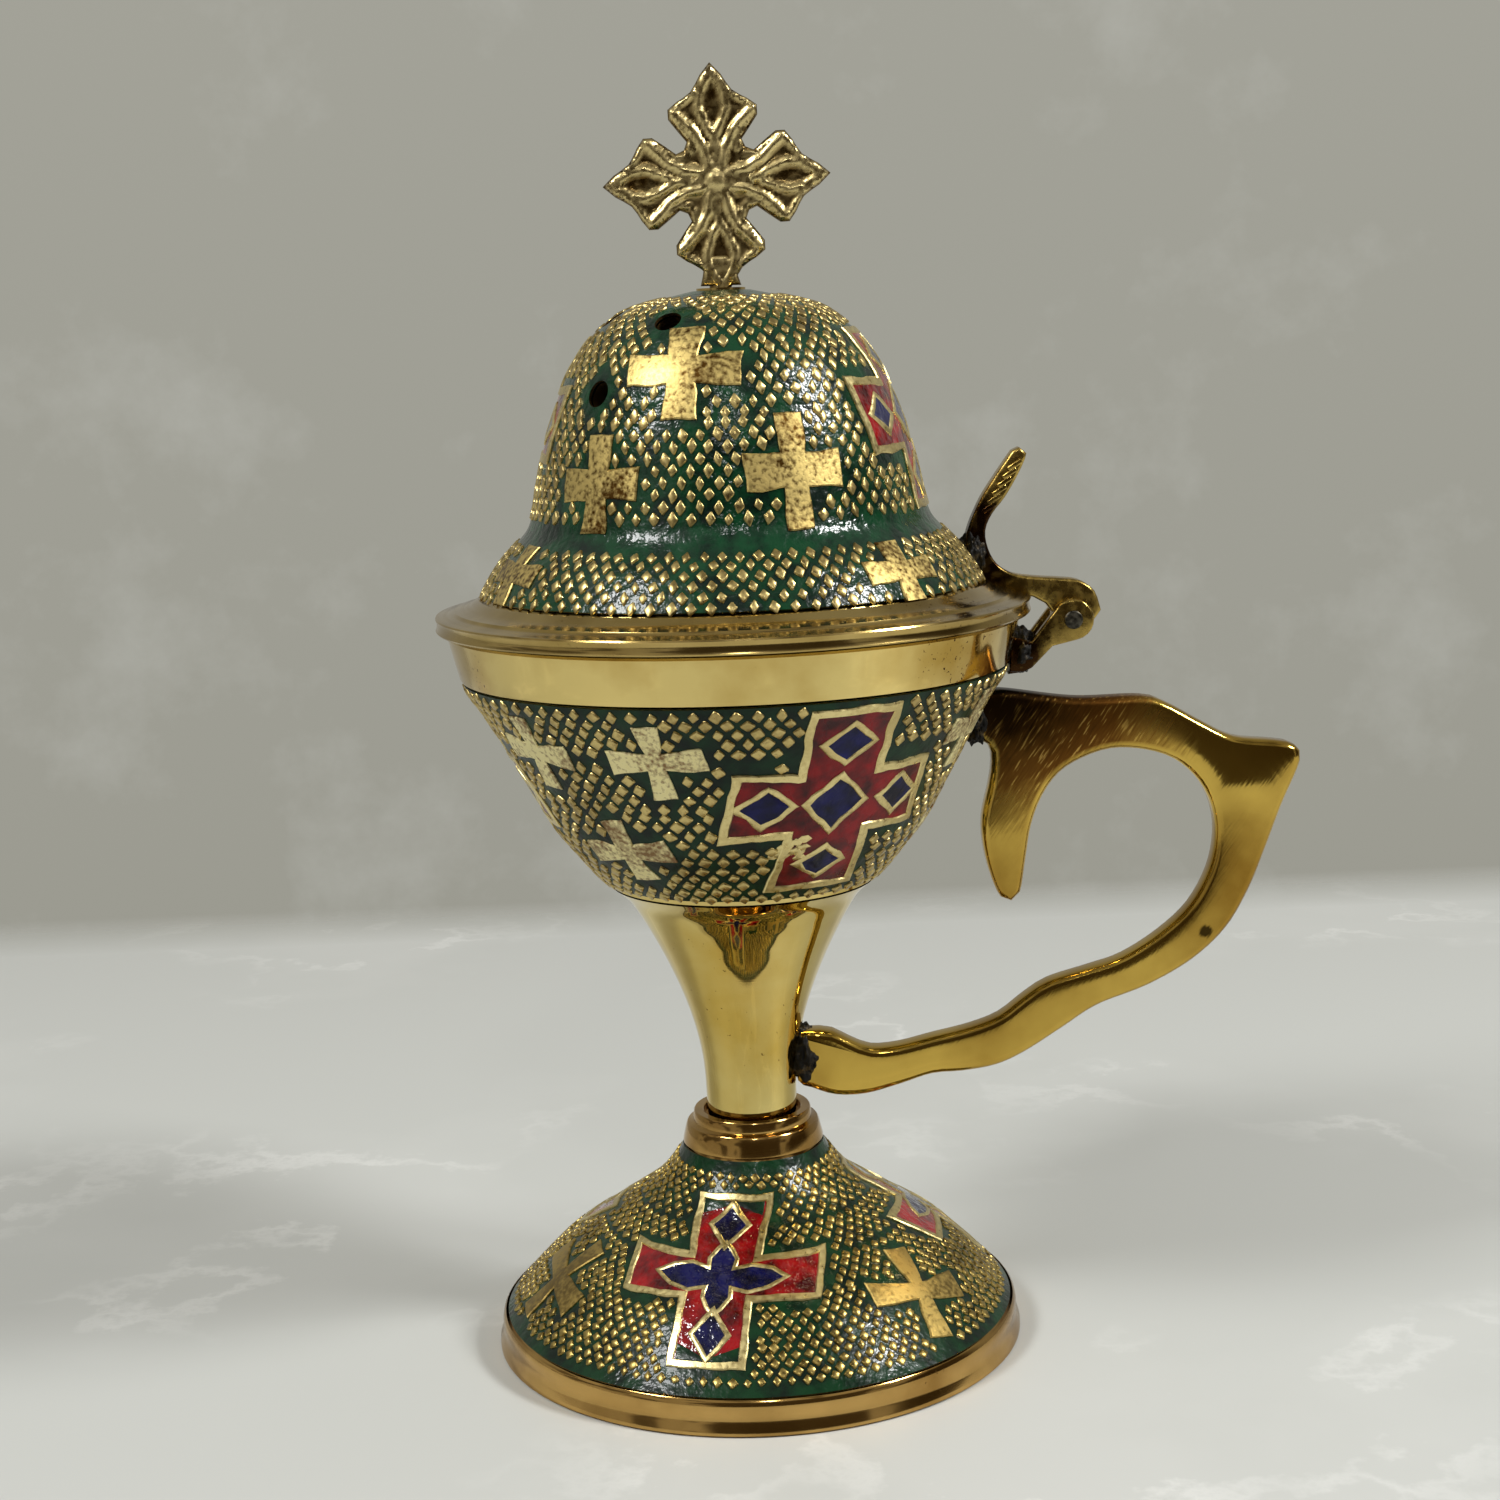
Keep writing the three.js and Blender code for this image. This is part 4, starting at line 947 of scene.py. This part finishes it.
# Painted shade: the low parts of both faces, between the ridges, and the cross's edges are marked dark.
mark_dirt_and_shade(finial_piece, lambda out, off, up: min((1.5 - off) / 0.45, 0.8))

# Small parts that stay as the CAD made them: the tie rod through bowl, stem and foot, its washer and nut in
# the foot's hollow, and the finial's nut under the dome. All are plain dull steel.
for name in ("tie_rod", "foot_washer", "foot_nut", "finial_nut"):
    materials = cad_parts[name].data.materials
    materials.clear()
    materials.append(dull_steel)

# Table: a top of pale polished stone with faint veins, whose far edge fades into the air. Brass mirrors only
# the part behind table_near, and the rest is there for the camera alone.
table_front, table_near, table_back, table_side, fade = -3.0, -0.345, 0.255, 3.0, 0.035
stone, tree, shader, where = new_material("stone", Specular_IOR_Level=0.3)
veined = {"Vector": where, "Scale": 1000 / 70, "Detail": 8.0, "Roughness": 0.6}
veins = add_node(tree, "TexNoise", veined)[0]
veins = add_node(tree, "Math", {0: veins, 1: 0.5}, operation="SUBTRACT")[0]
veins = add_node(tree, "Math", {0: veins}, operation="ABSOLUTE")[0]
veins = add_node(tree, "MapRange", {0: veins, 1: 0.002, 2: 0.022, 3: 1.0, 4: 0.0})[0]
patches = spots(tree, where, 90.0, 5.0)
patches = add_node(tree, "MapRange", {0: patches, 1: 0.5, 2: 0.62, 3: 0.0, 4: 0.45})[0]
veins = add_node(tree, "Math", {0: veins, 1: patches}, operation="MULTIPLY")[0]
veins = add_node(tree, "Math", {0: patches, 1: 0.3, 2: veins}, operation="MULTIPLY_ADD", use_clamp=True)[0]
base = mixed(tree, veins, "#c6c8c4", "#e6e7e4")
rough = add_node(tree, "MapRange", {0: veins, 3: 0.45, 4: 0.35})[0]
connect(tree, shader, base, rough, veins, 10)
across = add_node(tree, "SeparateXYZ", {0: where})[1]
far = add_node(tree, "MapRange", {0: across, 1: table_back - fade, 2: table_back})[0]
near = add_node(tree, "MapRange", {0: across, 1: table_near + fade / 2, 2: table_near})[0]
straight = add_node(tree, "LightPath", {})["Is Camera Ray"]
mirrored = add_node(tree, "Math", {0: 1.0, 1: straight}, operation="SUBTRACT")[0]
near = add_node(tree, "Math", {0: near, 1: mirrored}, operation="MULTIPLY")[0]
gone = add_node(tree, "Math", {0: far, 1: near}, operation="MAXIMUM")[0]
clear = add_node(tree, "BsdfTransparent", {})[0]
faded = add_node(tree, "MixShader", {0: gone, 1: shader.outputs[0], 2: clear})[0]
tree.links.new(faded, tree.nodes["Material Output"].inputs["Surface"])
table = bmesh.new()
table.faces.new([table.verts.new(corner) for corner in (
    (-table_side, table_front, 0), (table_side, table_front, 0), (table_side, table_back, 0),
    (-table_side, table_back, 0),
)])
new_object("table", table, [stone])

# Light: two broad soft lamps from above, a smaller one that glints on the enamel, and an uneven room around.
# The brass mirrors its window, door and ceiling, and the camera sees a plain hazy wall instead.
target = Vector((axis, 0, 0.08))
for name, place, size, power in (
    ("key", (-0.6, -0.35, 0.78), 0.24, 5.1), ("fill", (0.66, -0.25, 0.66), 0.18, 6.5),
    ("glint", (0.02, -0.8, 0.7), 0.08, 0.6),
):
    lamp = bpy.data.lights.new(name, "AREA")
    lamp.size = size
    lamp.energy = power
    lamp_object = bpy.data.objects.new(name, lamp)
    lamp_object.location = place
    lamp_object.rotation_euler = (Vector(place) - target).to_track_quat("Z", "Y").to_euler()
    scene.collection.objects.link(lamp_object)
world = bpy.data.worlds.new("room")
scene.world = world
world.use_nodes = True
tree = world.node_tree
direction = add_node(tree, "TexCoord", {})["Generated"]
split = add_node(tree, "SeparateXYZ", {0: direction})
window = add_node(tree, "MapRange", {0: split[0], 1: -0.32, 2: -0.42})[0]
door = add_node(tree, "Math", {0: split[0], 1: 0.78, 2: 0.09}, operation="COMPARE")[0]
door = add_node(tree, "Math", {0: door, 1: 0.8}, operation="MULTIPLY")[0]
ceiling = add_node(tree, "MapRange", {0: split[2], 1: 0.5, 2: 0.56, 3: 0.0, 4: 0.9})[0]
bright = add_node(tree, "Math", {0: window, 1: door}, operation="MAXIMUM")[0]
bright = add_node(tree, "Math", {0: bright, 1: ceiling}, operation="MAXIMUM")[0]
patches = add_node(tree, "TexNoise", {"Vector": direction, "Scale": 4.5, "Detail": 1.5})[0]
patches = add_node(tree, "MapRange", {0: patches, 1: 0.44, 2: 0.48, 3: 0.15, 4: 1.0})[0]
bright = add_node(tree, "Math", {0: bright, 1: patches}, operation="MULTIPLY")[0]
room = mixed(tree, bright, "#675b49", "#f6f1e6")
behind = add_node(tree, "MapRange", {0: split[1], 1: 0.1, 2: 0.4})[0]
room = mixed(tree, behind, room, "#e6e4d9")
height = add_node(tree, "MapRange", {0: split[2], 1: -0.25, 2: 0.15})[0]
plain = mixed(tree, height, "#9b9a90", "#a3a298")
haze = add_node(tree, "TexNoise", {"Vector": direction, "Scale": 9.0, "Detail": 8.0, "Roughness": 0.6})[0]
haze = add_node(tree, "MapRange", {0: haze, 1: 0.55, 2: 0.72, 3: 0.0, 4: 0.28})[0]
hazy = mixed(tree, haze, plain, "#c9cac4")
seen = add_node(tree, "Background", {"Color": hazy, "Strength": 1.0})[0]
tree.links.new(room, tree.nodes["Background"].inputs["Color"])
tree.nodes["Background"].inputs["Strength"].default_value = 0.45
straight = add_node(tree, "LightPath", {})["Is Camera Ray"]
both = add_node(tree, "MixShader", {0: straight, 1: tree.nodes["Background"].outputs[0], 2: seen})[0]
tree.links.new(both, tree.nodes["World Output"].inputs["Surface"])
